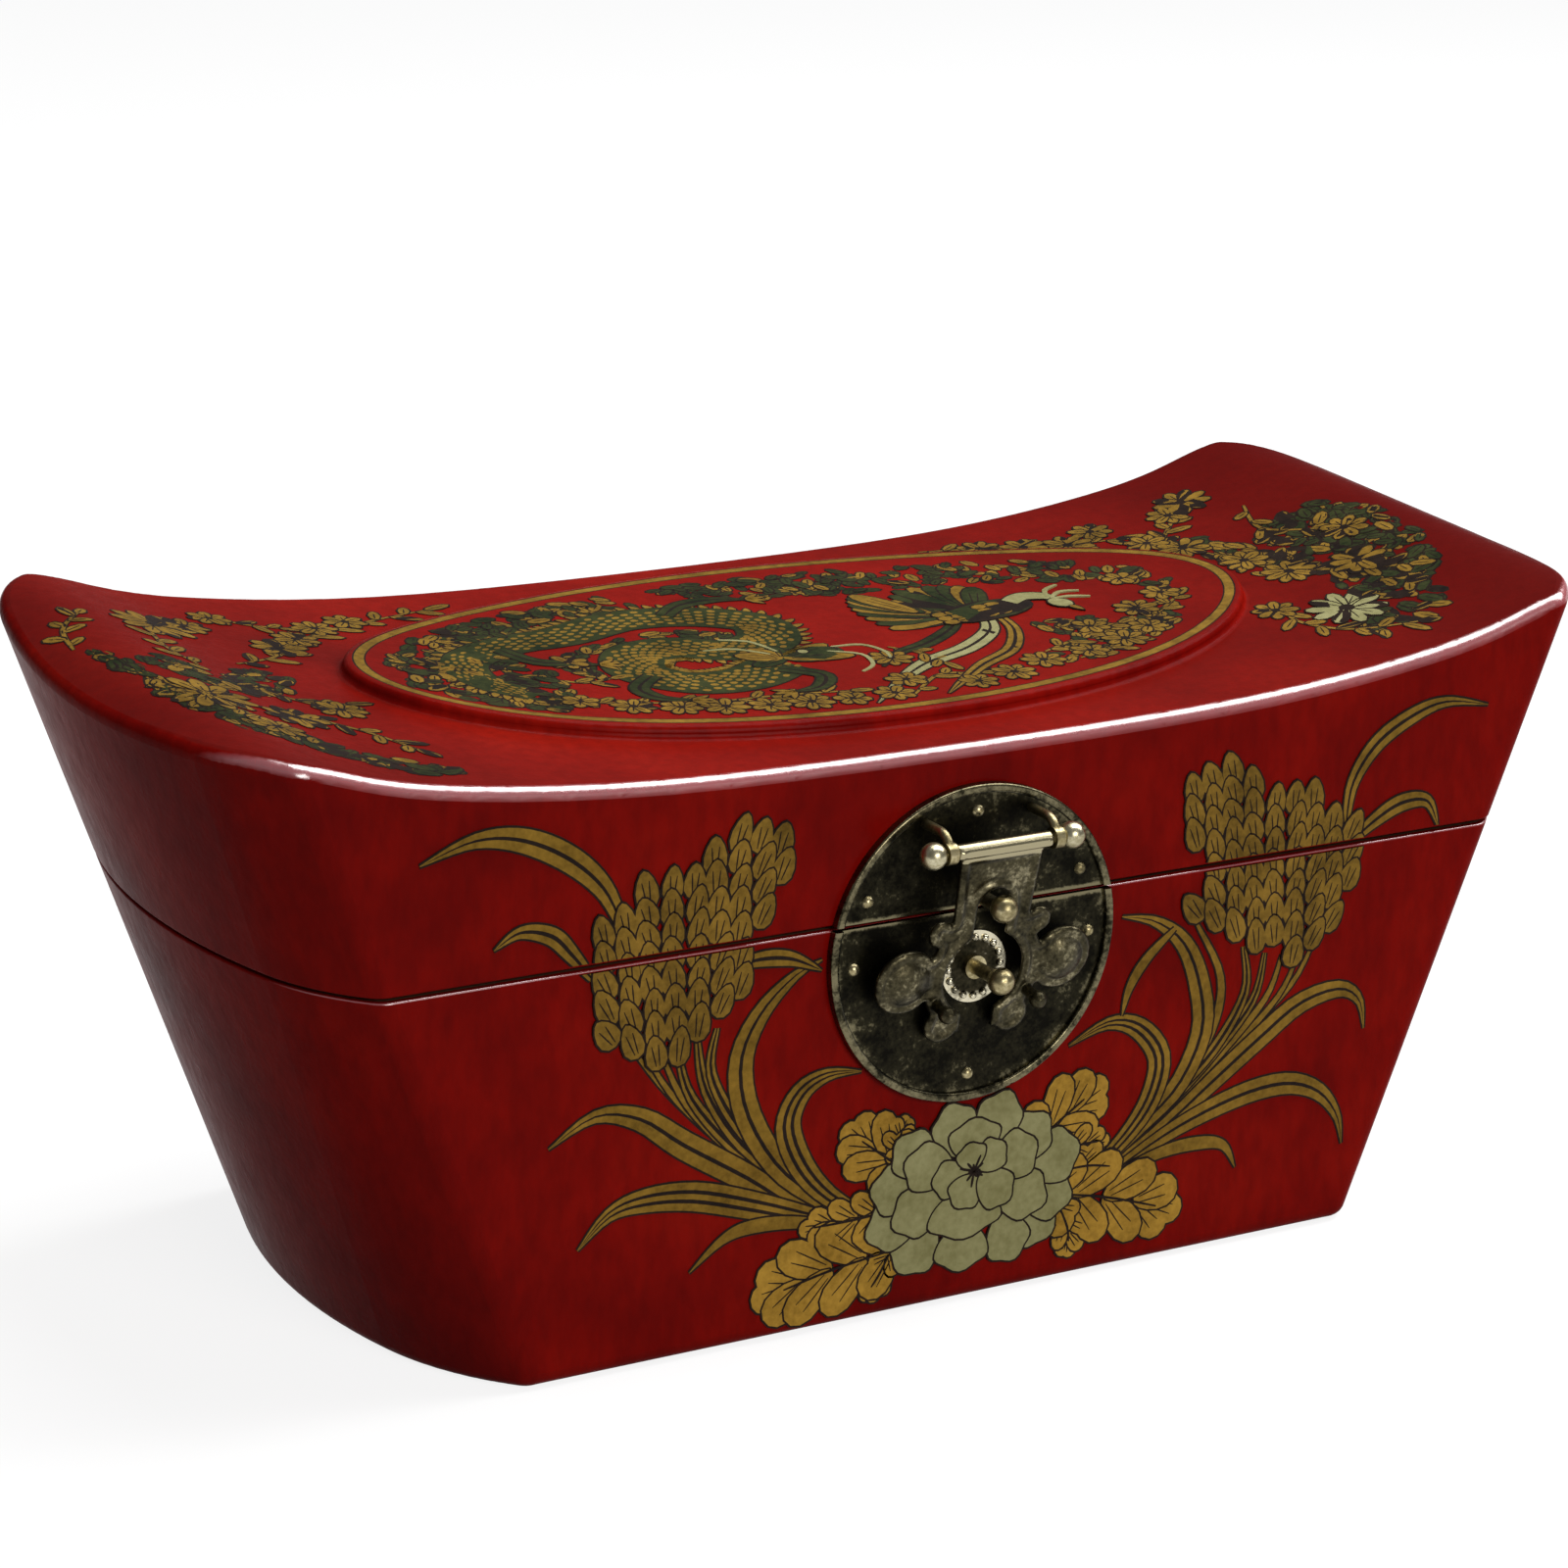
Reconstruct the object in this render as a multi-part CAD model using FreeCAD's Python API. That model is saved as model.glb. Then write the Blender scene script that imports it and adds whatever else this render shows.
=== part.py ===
import FreeCAD, Part
import math
import os

# Pillow-shaped lacquered jewelry box: a wooden carcass covered in leather, a saddle-topped
# lid on two butt hinges, and a round two-part lock plate with a swinging hasp.
# Millimetres. X runs along the front, the front faces -Y, Z is up.
# The origin is the middle of the underside.

V = FreeCAD.Vector
X_AXIS = V(1, 0, 0)
Y_AXIS = V(0, 1, 0)
Z_AXIS = V(0, 0, 1)

# Outside of the box, over the leather
front_width_bottom = 171.0
front_width_top = 262.0
depth_bottom = 111.0
back_lean = 7.0
end_bow_bottom = 21.5
end_bow_top = 18.0
end_flat_angle = 14.7
end_turn_angle = 45.5
upright_edge_radius = 5.0
inner_edge_radius = 1.0
bottom_edge_radius = 3.0
top_edge_radius = 2.4
seam_edge_radius = 0.4

# Where the lid parts from the base
seam_height = 77.0
seam_gap = 0.8
lid_height = 43.0

# Saddle of the lid: a profile along X, tilted so that the back stands higher
saddle_sag = 12.7
back_rise = 4.6
saddle_place_shares = (0.0, 0.25, 0.5, 0.75, 0.9, 1.0, 1.045, 1.09, 1.14, 1.2)
saddle_rise_shares = (0.0, 0.017, 0.104, 0.371, 0.69, 1.0, 1.055, 0.98, 0.72, 0.25)

# Raised oval on the lid
oval_half_length = 94.0
oval_half_depth = 45.5
oval_rise = 2.6
oval_edge_radius = 1.3
oval_foot_radius = 1.1

# Thicknesses
leather = 1.2
wall_board = 7.0
top_board = 7.0
bottom_board = 6.0
lining = 0.8
floor_pad = 1.6
lining_setback = 1.0

# Lock plate on the front, split at the seam
plate_radius = 30.0
plate_drop = 6.8
plate_thickness = 1.0
plate_rim_width = 1.7
plate_rim_rise = 0.9
plate_nail_setback = 5.0
upper_nail_angles = (26.0, 90.0, 154.0)
lower_nail_angles = (183.0, 270.0, 357.0)

# Nails: a dome head on a shank driven into the boards
nail_head_radius = 1.2
nail_head_height = 0.8
nail_shank_radius = 0.55
nail_shank_length = 4.5

# Hasp hinge: two swan-neck eye posts that hold a pin with ball ends
pivot_above_seam = 14.1
pivot_standoff = 8.4
pin_radius = 0.9
pin_running_gap = 0.05
knuckle_radius = 1.5
knuckle_half_length = 10.0
eye_radius = 2.0
eye_width = 1.8
eye_side_gap = 0.3
eye_stem_radius = 0.9
eye_stem_rise = 3.2
pin_ball_radius = 2.5
pin_ball_seat = 0.1

# Ball-headed posts that stick out through the hasp
post_ball_radius = 2.5
post_standoff = 9.6
post_shank_radius = 1.3
post_collar_radius = 2.2
post_collar_height = 0.8
post_shank_length = 5.0
lock_eye_radius = 0.8
upper_post_above_seam = 2.6
lower_post_below_seam = 11.0

# Beaded rosette round the lower post
rosette_radius = 6.8
rosette_thickness = 0.6
rosette_bead_radius = 0.75
rosette_bead_circle = 5.5
rosette_bead_count = 16
rosette_hole_gap = 0.2

# Hasp: a cloud-head fork that hangs from the pin, sizes from the pivot down
hasp_thickness = 1.1
hasp_tilt = 11.0
hasp_neck_half_top = 8.6
hasp_neck_half_low = 7.8
hasp_neck_length = 19.0
hasp_curl_radius = 2.6
hasp_curl_out = 10.2
hasp_curl_down = 16.4
hasp_eye_down = 25.8
hasp_eye_radius = 8.3
hasp_ring_radius = 12.2
hasp_lobe_radius = 6.3
hasp_lobe_out = 16.4
hasp_lobe_down = 25.2
hasp_dome_radius = 4.9
hasp_dome_height = 1.9
hasp_toe_radius = 3.6
hasp_toe_out = 7.3
hasp_toe_down = 35.4
hasp_slot_half = 3.5
hasp_slot_top = 8.6
hasp_horn_out = 9.6
hasp_horn_down = 30.4
hasp_horn_rise = 4.2
hasp_horn_radius = 1.1
hasp_horn_ball = 1.7

# Butt hinges on the back
hinge_place = 68.0
hinge_length = 24.0
hinge_leaf_height = 11.0
hinge_leaf_thickness = 0.8
hinge_knuckle_radius = 1.9
hinge_face_gap = 0.4
hinge_pin_radius = 0.9
hinge_pin_gap = 0.05
hinge_side_gap = 0.25
hinge_seam_gap = 0.4
hinge_head_radius = 1.3
hinge_head_height = 0.5
hinge_nail_place = 8.0
hinge_nail_down = 7.0

# Clearance round shanks in their holes, and how far cutting tools run past
hole_gap = 0.05
overrun = 6.0

# Worked out from the sizes above
corner_height = seam_height + lid_height
front_y = -depth_bottom / 2
back_y_bottom = depth_bottom / 2
lean_angle = math.degrees(math.atan2(back_lean, corner_height))
base_top = seam_height - seam_gap / 2
lid_bottom = seam_height + seam_gap / 2
plate_centre_z = seam_height - plate_drop
plate_nail_circle = plate_radius - plate_nail_setback
plate_face_y = front_y - plate_thickness
pivot_z = seam_height + pivot_above_seam
pivot_y = plate_face_y - pivot_standoff
reach_x = front_width_top
build_height = corner_height + saddle_sag + back_rise
board_inside = leather + wall_board
lining_inside = board_inside + lining
ceiling_drop = leather + top_board


def height_share(z):
    return z / corner_height


def back_y(z):
    """The outside of the back, which leans out as it goes up."""
    return back_y_bottom + back_lean * height_share(z)


def arc_edge(centre, radius, start, end):
    """An arc in a level plane, from a start to an end angle in radians."""
    def at(angle):
        return centre + V(radius * math.cos(angle), radius * math.sin(angle), 0)
    return Part.Arc(at(start), at((start + end) / 2), at(end)).toShape()


def outline(z, inset):
    """The plan outline at a height, inset from the outside: straight front and back,
    and ends bowed out in tangent arcs."""
    half_front = (front_width_bottom + (front_width_top - front_width_bottom) * height_share(z)) / 2
    bow = end_bow_bottom + (end_bow_top - end_bow_bottom) * height_share(z)
    middle = (front_y + back_y(z)) / 2
    half_depth = (back_y(z) - front_y) / 2
    flat = math.radians(end_flat_angle)
    turn = math.radians(end_turn_angle)
    edge = upright_edge_radius
    # Two arcs that together reach the half depth and drop by the bow
    a = math.sin(flat)
    b = math.sin(turn) - math.sin(flat)
    c = 1 - math.cos(flat)
    d = math.cos(flat) - math.cos(turn)
    run = half_depth - edge * (1 - math.sin(turn))
    drop = bow - edge * math.cos(turn)
    flat_radius = (run * d - drop * b) / (a * d - b * c) - inset
    edge = max(upright_edge_radius - inset, inner_edge_radius)
    half = half_depth - inset
    turn_radius = (half - edge * (1 - math.sin(turn)) - flat_radius * a) / b
    flat_centre = V(half_front + bow - inset - flat_radius, middle, z)
    turn_centre = flat_centre + V(math.cos(flat), math.sin(flat), 0) * (flat_radius - turn_radius)
    edge_centre = turn_centre + V(math.cos(turn), math.sin(turn), 0) * (turn_radius - edge)
    right_back = [arc_edge(turn_centre, turn_radius, flat, turn),
                  arc_edge(edge_centre, edge, turn, math.pi / 2)]
    right_front = [piece.mirror(V(0, middle, 0), Y_AXIS) for piece in right_back]
    right = [arc_edge(flat_centre, flat_radius, -flat, flat)] + right_back + right_front
    left = [piece.mirror(V(0, 0, 0), X_AXIS) for piece in right]
    corner_x = edge_centre.x
    back = Part.LineSegment(V(-corner_x, middle + half, z), V(corner_x, middle + half, z)).toShape()
    front = Part.LineSegment(V(-corner_x, middle - half, z), V(corner_x, middle - half, z)).toShape()
    return Part.Wire(Part.__sortEdges__(right + left + [back, front]))


def form(inset, low_z, high_z):
    """The box's outer form, inset, between two levels. Its front and back are made
    as true planes, in which holes cut cleanly."""
    loft = Part.makeLoft([outline(low_z, inset), outline(high_z, inset)], True, True)
    sides = sorted(loft.Faces, key=lambda face: face.CenterOfMass.y)
    corners = [[vertex.Point for vertex in face.OuterWire.OrderedVertexes] for face in (sides[0], sides[-1])]
    planes = [Part.Face(Part.makePolygon(points + points[:1])) for points in corners]
    shell = Part.Shell(planes + sides[1:-1])
    shell.sewShape()
    return Part.Solid(shell)


def saddle_curve():
    """Half profile points mirrored into one smooth curve across the lid."""
    half = front_width_top / 2
    right = [V(half * place, 0, saddle_sag * (rise - 1))
             for place, rise in zip(saddle_place_shares, saddle_rise_shares)]
    left = [V(-point.x, 0, point.z) for point in reversed(right[1:])]
    curve = Part.BSplineCurve()
    curve.interpolate(left + right)
    return curve.toShape(), left[0], right[-1]


def under_saddle(drop):
    """Everything below the lid's top surface lowered by a drop."""
    edge, left_end, right_end = saddle_curve()
    down = V(0, 0, -corner_height)
    walls = [Part.LineSegment(right_end, right_end + down).toShape(),
             Part.LineSegment(right_end + down, left_end + down).toShape(),
             Part.LineSegment(left_end + down, left_end).toShape()]
    profile = Part.Face(Part.Wire([edge] + walls))
    tilt = back_rise / (back_y(corner_height) - front_y)
    profile.translate(V(0, front_y - overrun, corner_height - drop - overrun * tilt))
    length = back_y(corner_height) - front_y + 2 * overrun
    return profile.extrude(V(0, length, length * tilt))


def oval_prism(inset):
    """An upright block on the oval's outline, tall enough for the whole lid."""
    middle = (front_y + back_y(corner_height)) / 2
    ellipse = Part.Ellipse(V(0, middle, lid_bottom), oval_half_length - inset, oval_half_depth - inset)
    face = Part.Face(Part.Wire(ellipse.toShape()))
    return face.extrude(V(0, 0, build_height - lid_bottom))


def lid_block(inset, drop):
    """The lid as one solid block, inset and lowered, with its raised oval."""
    block = form(inset, lid_bottom, build_height).common(under_saddle(drop))
    oval = oval_prism(inset).common(under_saddle(drop - oval_rise))
    return block.fuse(oval).removeSplitter()


def slab_in_y(low_z, high_z, inset):
    """The space between the insides of the front and back boards, right across X."""
    points = [V(-reach_x, front_y + inset, low_z), V(-reach_x, back_y(low_z) - inset, low_z),
              V(-reach_x, back_y(high_z) - inset, high_z), V(-reach_x, front_y + inset, high_z)]
    face = Part.Face(Part.makePolygon(points + [points[0]]))
    return face.extrude(V(2 * reach_x, 0, 0))


def level_edges(shape, z):
    """The edges of a shape that lie at one level."""
    return [edge for edge in shape.Edges
            if all(abs(vertex.Z - z) < hole_gap for vertex in edge.Vertexes)
            and abs(edge.CenterOfMass.z - z) < hole_gap]


def rounded_lid_block():
    """The lid's outside, with a soft oval, rounded rims and an eased seam edge."""
    block = lid_block(0, 0).Solids[0]
    for radius, place in ((oval_edge_radius, -1), (oval_foot_radius, 0)):
        rings = [edge for edge in block.Edges if edge.isClosed()]
        rings.sort(key=lambda edge: edge.CenterOfMass.z)
        block = block.makeFillet(radius, [rings[place]])
    top = [face for face in block.Faces if face.Surface.TypeId == "Part::GeomSurfaceOfExtrusion"]
    top.sort(key=lambda face: face.Area)
    block = block.makeFillet(top_edge_radius, [edge for edge in top[-1].Edges if not edge.isClosed()])
    return block.makeFillet(seam_edge_radius, level_edges(block, lid_bottom))


def placed(shape, at, outward):
    """A shape built along +Z, turned to face outward and moved to its seat."""
    shape.Placement = FreeCAD.Placement(at, FreeCAD.Rotation(Z_AXIS, outward))
    return shape


def shank_hole(radius, reach, at, outward):
    """The hole that a shank needs behind its seat."""
    tool = Part.makeCylinder(radius + hole_gap, reach + overrun, V(0, 0, -reach))
    return placed(tool, at, outward)


def nail(at, outward):
    """A dome-headed nail seated at a point, its shank running inward."""
    ball = (nail_head_radius ** 2 + nail_head_height ** 2) / (2 * nail_head_height)
    head = Part.makeSphere(ball, V(0, 0, nail_head_height - ball))
    head = head.common(Part.makeCylinder(nail_head_radius, nail_head_height))
    shank = Part.makeCylinder(nail_shank_radius, nail_shank_length, V(0, 0, -nail_shank_length))
    return placed(head.fuse(shank), at, outward)


def on_plate(x, z):
    """A point on the front face of the lock plate."""
    return V(x, plate_face_y, z)


def plate_nail_seats(angles):
    seats = []
    for angle in angles:
        turn = math.radians(angle)
        seats.append(on_plate(plate_nail_circle * math.cos(turn),
                              plate_centre_z + plate_nail_circle * math.sin(turn)))
    return seats


FRONT = V(0, -1, 0)
BACK = V(0, math.cos(math.radians(lean_angle)), -math.sin(math.radians(lean_angle)))

eye_centre_x = knuckle_half_length + eye_side_gap + eye_width / 2
upper_post_seat = on_plate(0, seam_height + upper_post_above_seam)
lower_post_seat = on_plate(0, seam_height - lower_post_below_seam)
stem_seats = [on_plate(side * eye_centre_x, pivot_z + eye_stem_rise) for side in (-1, 1)]
upper_nail_seats = plate_nail_seats(upper_nail_angles)
lower_nail_seats = plate_nail_seats(lower_nail_angles)


def hinge_frame(shape, side):
    """Moves a shape from a hinge's own frame to its place on the leaning back.
    In that frame X runs along the pin, Y points outward and Z up the back."""
    shape.rotate(V(0, 0, 0), X_AXIS, -lean_angle)
    shape.translate(V(side * hinge_place, back_y(seam_height), seam_height))
    return shape


def hinge_nail_seats(direction):
    """Seats of one row of hinge nails, above the seam for +1 and below for -1."""
    seats = []
    for side in (-1, 1):
        for end in (-1, 1):
            mark = Part.Vertex(V(end * hinge_nail_place, hinge_leaf_thickness, direction * hinge_nail_down))
            seats.append(hinge_frame(mark, side).Point)
    return seats


def front_holes(seats, radius, reach):
    return [shank_hole(radius, reach, seat, FRONT) for seat in seats]


lid_front_holes = (front_holes(upper_nail_seats, nail_shank_radius, nail_shank_length)
                   + front_holes(stem_seats, eye_stem_radius, post_shank_length)
                   + front_holes([upper_post_seat], post_shank_radius, post_shank_length))
base_front_holes = (front_holes(lower_nail_seats, nail_shank_radius, nail_shank_length)
                    + front_holes([lower_post_seat], post_shank_radius, post_shank_length))
lid_back_holes = [shank_hole(nail_shank_radius, nail_shank_length, seat, BACK) for seat in hinge_nail_seats(1)]
base_back_holes = [shank_hole(nail_shank_radius, nail_shank_length, seat, BACK) for seat in hinge_nail_seats(-1)]


def wall_boards(low_z, high_z, ceiling=None):
    """The four boards that stand between two levels, or up to a curved ceiling."""
    ring = form(leather, low_z, high_z).cut(form(board_inside, low_z, high_z))
    if ceiling:
        ring = ring.common(ceiling)
    between = slab_in_y(low_z, high_z, board_inside)
    ends = sorted(ring.common(between).Solids, key=lambda solid: solid.CenterOfMass.x)
    faces = sorted(ring.cut(between).Solids, key=lambda solid: solid.CenterOfMass.y)
    return {"front_board": faces[0], "back_board": faces[-1], "left_end": ends[0], "right_end": ends[-1]}


def make_base():
    bottom = form(0, 0, bottom_board)
    bottom = bottom.makeFillet(bottom_edge_radius, level_edges(bottom, 0))
    save(bottom, "base_bottom_board")
    boards = wall_boards(bottom_board, base_top)
    boards["front_board"] = boards["front_board"].cut(base_front_holes)
    boards["back_board"] = boards["back_board"].cut(base_back_holes)
    for name, board in boards.items():
        save(board, "base_" + name)
    skin = form(0, bottom_board, base_top)
    skin = skin.makeFillet(seam_edge_radius, level_edges(skin, base_top))
    skin = skin.cut(form(leather, bottom_board, base_top))
    save(skin.cut(base_front_holes + base_back_holes), "base_leather_cover")
    pad_top = bottom_board + floor_pad
    save(form(board_inside, bottom_board, pad_top), "base_floor_pad")
    lining_top = base_top - lining_setback
    cloth = form(board_inside, pad_top, lining_top).cut(form(lining_inside, pad_top, lining_top))
    save(cloth, "base_wall_lining")


def make_lid():
    ceiling = under_saddle(ceiling_drop)
    core = lid_block(leather, leather)
    save(core.cut(ceiling), "lid_top_board")
    boards = wall_boards(lid_bottom, build_height, ceiling)
    boards["front_board"] = boards["front_board"].cut(lid_front_holes)
    boards["back_board"] = boards["back_board"].cut(lid_back_holes)
    for name, board in boards.items():
        save(board, "lid_" + name)
    skin = rounded_lid_block().cut(core)
    save(skin.cut(lid_front_holes + lid_back_holes), "lid_leather_cover")
    low = lid_bottom + lining_setback
    below_cloth = under_saddle(ceiling_drop + lining)
    inside = form(board_inside, low, build_height)
    save(inside.common(ceiling).cut(below_cloth), "lid_top_lining")
    band = inside.cut(form(lining_inside, low, build_height))
    save(band.common(below_cloth), "lid_wall_lining")


def make_lock_plate():
    centre = V(0, front_y, plate_centre_z)
    disc = Part.makeCylinder(plate_radius, plate_thickness, centre, FRONT)
    rim = Part.makeCylinder(plate_radius, plate_thickness + plate_rim_rise, centre, FRONT)
    rim = rim.cut(Part.makeCylinder(plate_radius - plate_rim_width, plate_radius, centre, FRONT))
    face_y = front_y - plate_thickness - plate_rim_rise
    rims = [edge for edge in rim.Edges if edge.isClosed() and abs(edge.CenterOfMass.y - face_y) < hole_gap]
    rim = rim.makeFillet(plate_rim_width / 3, rims)
    plate = disc.fuse(rim).removeSplitter()
    block = Part.makeBox(2 * plate_radius, plate_radius, 2 * plate_radius)
    above = block.translated(V(-plate_radius, front_y - plate_radius, lid_bottom))
    below = block.translated(V(-plate_radius, front_y - plate_radius, base_top - 2 * plate_radius))
    save(plate.common(above).cut(lid_front_holes), "upper_lock_plate")
    save(plate.common(below).cut(base_front_holes), "lower_lock_plate")
    save(Part.makeCompound([nail(seat, FRONT) for seat in upper_nail_seats]), "upper_plate_nails")
    save(Part.makeCompound([nail(seat, FRONT) for seat in lower_nail_seats]), "lower_plate_nails")


def ball_post(seat, washer):
    """A ball-headed post whose ball is bored upright for a padlock's bar."""
    shank = Part.makeCylinder(post_shank_radius, post_shank_length + post_standoff, V(0, 0, -post_shank_length))
    collar = Part.makeCylinder(post_collar_radius, post_collar_height, V(0, 0, washer))
    ball = Part.makeSphere(post_ball_radius, V(0, 0, post_standoff))
    post = placed(shank.fuse([collar, ball]), seat, FRONT)
    centre = seat + FRONT * post_standoff
    bore = Part.makeCylinder(lock_eye_radius, 2 * post_ball_radius, centre - Z_AXIS * post_ball_radius)
    return post.cut(bore)


def make_posts():
    save(ball_post(upper_post_seat, 0), "upper_ball_post")
    save(ball_post(lower_post_seat, rosette_thickness), "lower_ball_post")
    disc = Part.makeCylinder(rosette_radius, rosette_thickness)
    beads = []
    for number in range(rosette_bead_count):
        turn = 2 * math.pi * number / rosette_bead_count
        centre = V(math.cos(turn), math.sin(turn), 0) * rosette_bead_circle + Z_AXIS * rosette_thickness
        beads.append(Part.makeSphere(rosette_bead_radius, centre))
    rosette = disc.fuse(beads)
    rosette = rosette.cut(Part.makeBox(2 * rosette_radius, 2 * rosette_radius, rosette_radius,
                                       V(-rosette_radius, -rosette_radius, -rosette_radius)))
    rosette = rosette.cut(Part.makeCylinder(post_shank_radius + rosette_hole_gap, rosette_thickness))
    save(placed(rosette, lower_post_seat, FRONT), "lower_post_rosette")


def eye_post(seat):
    """A swan-neck stem that leaves the plate above the pin and turns down into an eye."""
    turn_y = pivot_y + eye_stem_rise
    top = V(seat.x, turn_y, seat.z)
    half_way = math.pi / 4
    middle = V(seat.x, turn_y - eye_stem_rise * math.sin(half_way),
               pivot_z + eye_stem_rise * math.cos(half_way))
    start = seat - FRONT * post_shank_length
    path = Part.Wire([Part.LineSegment(start, top).toShape(),
                      Part.Arc(top, middle, V(seat.x, pivot_y, pivot_z)).toShape()])
    circle = Part.Wire(Part.makeCircle(eye_stem_radius, start, FRONT))
    stem = path.makePipeShell([circle], True, False)
    eye = Part.makeCylinder(eye_radius, eye_width, V(seat.x - eye_width / 2, pivot_y, pivot_z), X_AXIS)
    bore = Part.makeCylinder(pin_radius + pin_running_gap, 2 * eye_radius,
                             V(seat.x - eye_radius, pivot_y, pivot_z), X_AXIS)
    return stem.fuse(eye).cut(bore)


def make_hasp_hinge():
    save(Part.makeCompound([eye_post(seat) for seat in stem_seats]), "hasp_eye_posts")
    ball_x = eye_centre_x + eye_width / 2 + pin_ball_radius - pin_ball_seat
    centre = V(0, pivot_y, pivot_z)
    pin = Part.makeCylinder(pin_radius, 2 * ball_x, centre - X_AXIS * ball_x, X_AXIS)
    balls = [Part.makeSphere(pin_ball_radius, centre + X_AXIS * (side * ball_x)) for side in (-1, 1)]
    save(pin.fuse(balls), "hasp_hinge_pin")


def hasp_disc(radius, out, down):
    """A round lobe of the hasp's plate, built with the pivot at zero and the front at -Y."""
    return Part.makeCylinder(radius, hasp_thickness, V(out, hasp_thickness / 2, -down), FRONT)


def make_hasp():
    back = hasp_thickness / 2
    neck = Part.makePolygon([V(-hasp_neck_half_top, back, 0), V(hasp_neck_half_top, back, 0),
                             V(hasp_neck_half_low, back, -hasp_neck_length),
                             V(-hasp_neck_half_low, back, -hasp_neck_length), V(-hasp_neck_half_top, back, 0)])
    plate = Part.Face(neck).extrude(FRONT * hasp_thickness)
    lobes = [hasp_disc(hasp_ring_radius, 0, hasp_eye_down)]
    extras = []
    ball = (hasp_dome_radius ** 2 + hasp_dome_height ** 2) / (2 * hasp_dome_height)
    for side in (-1, 1):
        lobes.append(hasp_disc(hasp_curl_radius, side * hasp_curl_out, hasp_curl_down))
        lobes.append(hasp_disc(hasp_lobe_radius, side * hasp_lobe_out, hasp_lobe_down))
        lobes.append(hasp_disc(hasp_toe_radius, side * hasp_toe_out, hasp_toe_down))
        seat = V(side * hasp_lobe_out, -back, -hasp_lobe_down)
        dome = Part.makeSphere(ball, seat - FRONT * (ball - hasp_dome_height))
        extras.append(dome.common(Part.makeCylinder(hasp_dome_radius, hasp_dome_height, seat, FRONT)))
        foot = V(side * hasp_horn_out, 0, -hasp_horn_down)
        extras.append(Part.makeCylinder(hasp_horn_radius, back + hasp_horn_rise, foot, FRONT))
        extras.append(Part.makeSphere(hasp_horn_ball, foot + FRONT * (back + hasp_horn_rise)))
    plate = plate.fuse(lobes)
    slot_centre = hasp_slot_top + hasp_slot_half
    slot = Part.makeBox(2 * hasp_slot_half, hasp_thickness, hasp_toe_down + hasp_toe_radius,
                        V(-hasp_slot_half, -back, -slot_centre - hasp_toe_down - hasp_toe_radius))
    plate = plate.cut([slot, hasp_disc(hasp_slot_half, 0, slot_centre), hasp_disc(hasp_eye_radius, 0, hasp_eye_down)])
    plate = plate.removeSplitter()
    knuckle = Part.makeCylinder(knuckle_radius, 2 * knuckle_half_length, V(-knuckle_half_length, 0, 0), X_AXIS)
    bore = Part.makeCylinder(pin_radius + pin_running_gap, 2 * knuckle_half_length,
                             V(-knuckle_half_length, 0, 0), X_AXIS)
    hasp = plate.fuse(extras + [knuckle]).cut(bore)
    hasp.rotate(V(0, 0, 0), X_AXIS, hasp_tilt)
    hasp.translate(V(0, pivot_y, pivot_z))
    save(hasp, "hasp")


def hinge_leaf(direction):
    """One leaf in the hinge's own frame: the lid's takes the middle knuckle,
    the base's the two outer ones."""
    half = hinge_length / 2
    span = hinge_length / 3
    low = min(direction * hinge_seam_gap, direction * hinge_leaf_height)
    leaf = Part.makeBox(hinge_length, hinge_leaf_thickness, hinge_leaf_height - hinge_seam_gap, V(-half, 0, low))
    starts = (-span / 2,) if direction > 0 else (-half, span / 2)
    other_starts = (-half, span / 2) if direction > 0 else (-span / 2,)
    axis_y = hinge_knuckle_radius + hinge_face_gap
    for start in other_starts:
        relief = Part.makeBox(span + 2 * hinge_side_gap, hinge_leaf_thickness, 2 * hinge_knuckle_radius,
                              V(start - hinge_side_gap, 0, -hinge_knuckle_radius))
        leaf = leaf.cut(relief)
    for start in starts:
        knuckle = Part.makeCylinder(hinge_knuckle_radius, span - hinge_side_gap,
                                    V(start + hinge_side_gap / 2, axis_y, 0), X_AXIS)
        leaf = leaf.fuse(knuckle)
    bore = Part.makeCylinder(hinge_pin_radius + hinge_pin_gap, hinge_length, V(-half, axis_y, 0), X_AXIS)
    return leaf.cut(bore).removeSplitter()


def hinge_pin():
    half = hinge_length / 2
    axis_y = hinge_knuckle_radius + hinge_face_gap
    pin = Part.makeCylinder(hinge_pin_radius, hinge_length, V(-half, axis_y, 0), X_AXIS)
    heads = [Part.makeCylinder(hinge_head_radius, hinge_head_height, V(side * half, axis_y, 0), X_AXIS * side)
             for side in (-1, 1)]
    return pin.fuse(heads)


def make_back_hinges():
    for side, name in ((-1, "left"), (1, "right")):
        lid_leaf = hinge_frame(hinge_leaf(1), side)
        base_leaf = hinge_frame(hinge_leaf(-1), side)
        save(lid_leaf.cut(lid_back_holes), name + "_hinge_lid_leaf")
        save(base_leaf.cut(base_back_holes), name + "_hinge_base_leaf")
        save(hinge_frame(hinge_pin(), side), name + "_hinge_pin")
    save(Part.makeCompound([nail(seat, BACK) for seat in hinge_nail_seats(1)]), "hinge_lid_nails")
    save(Part.makeCompound([nail(seat, BACK) for seat in hinge_nail_seats(-1)]), "hinge_base_nails")


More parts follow.
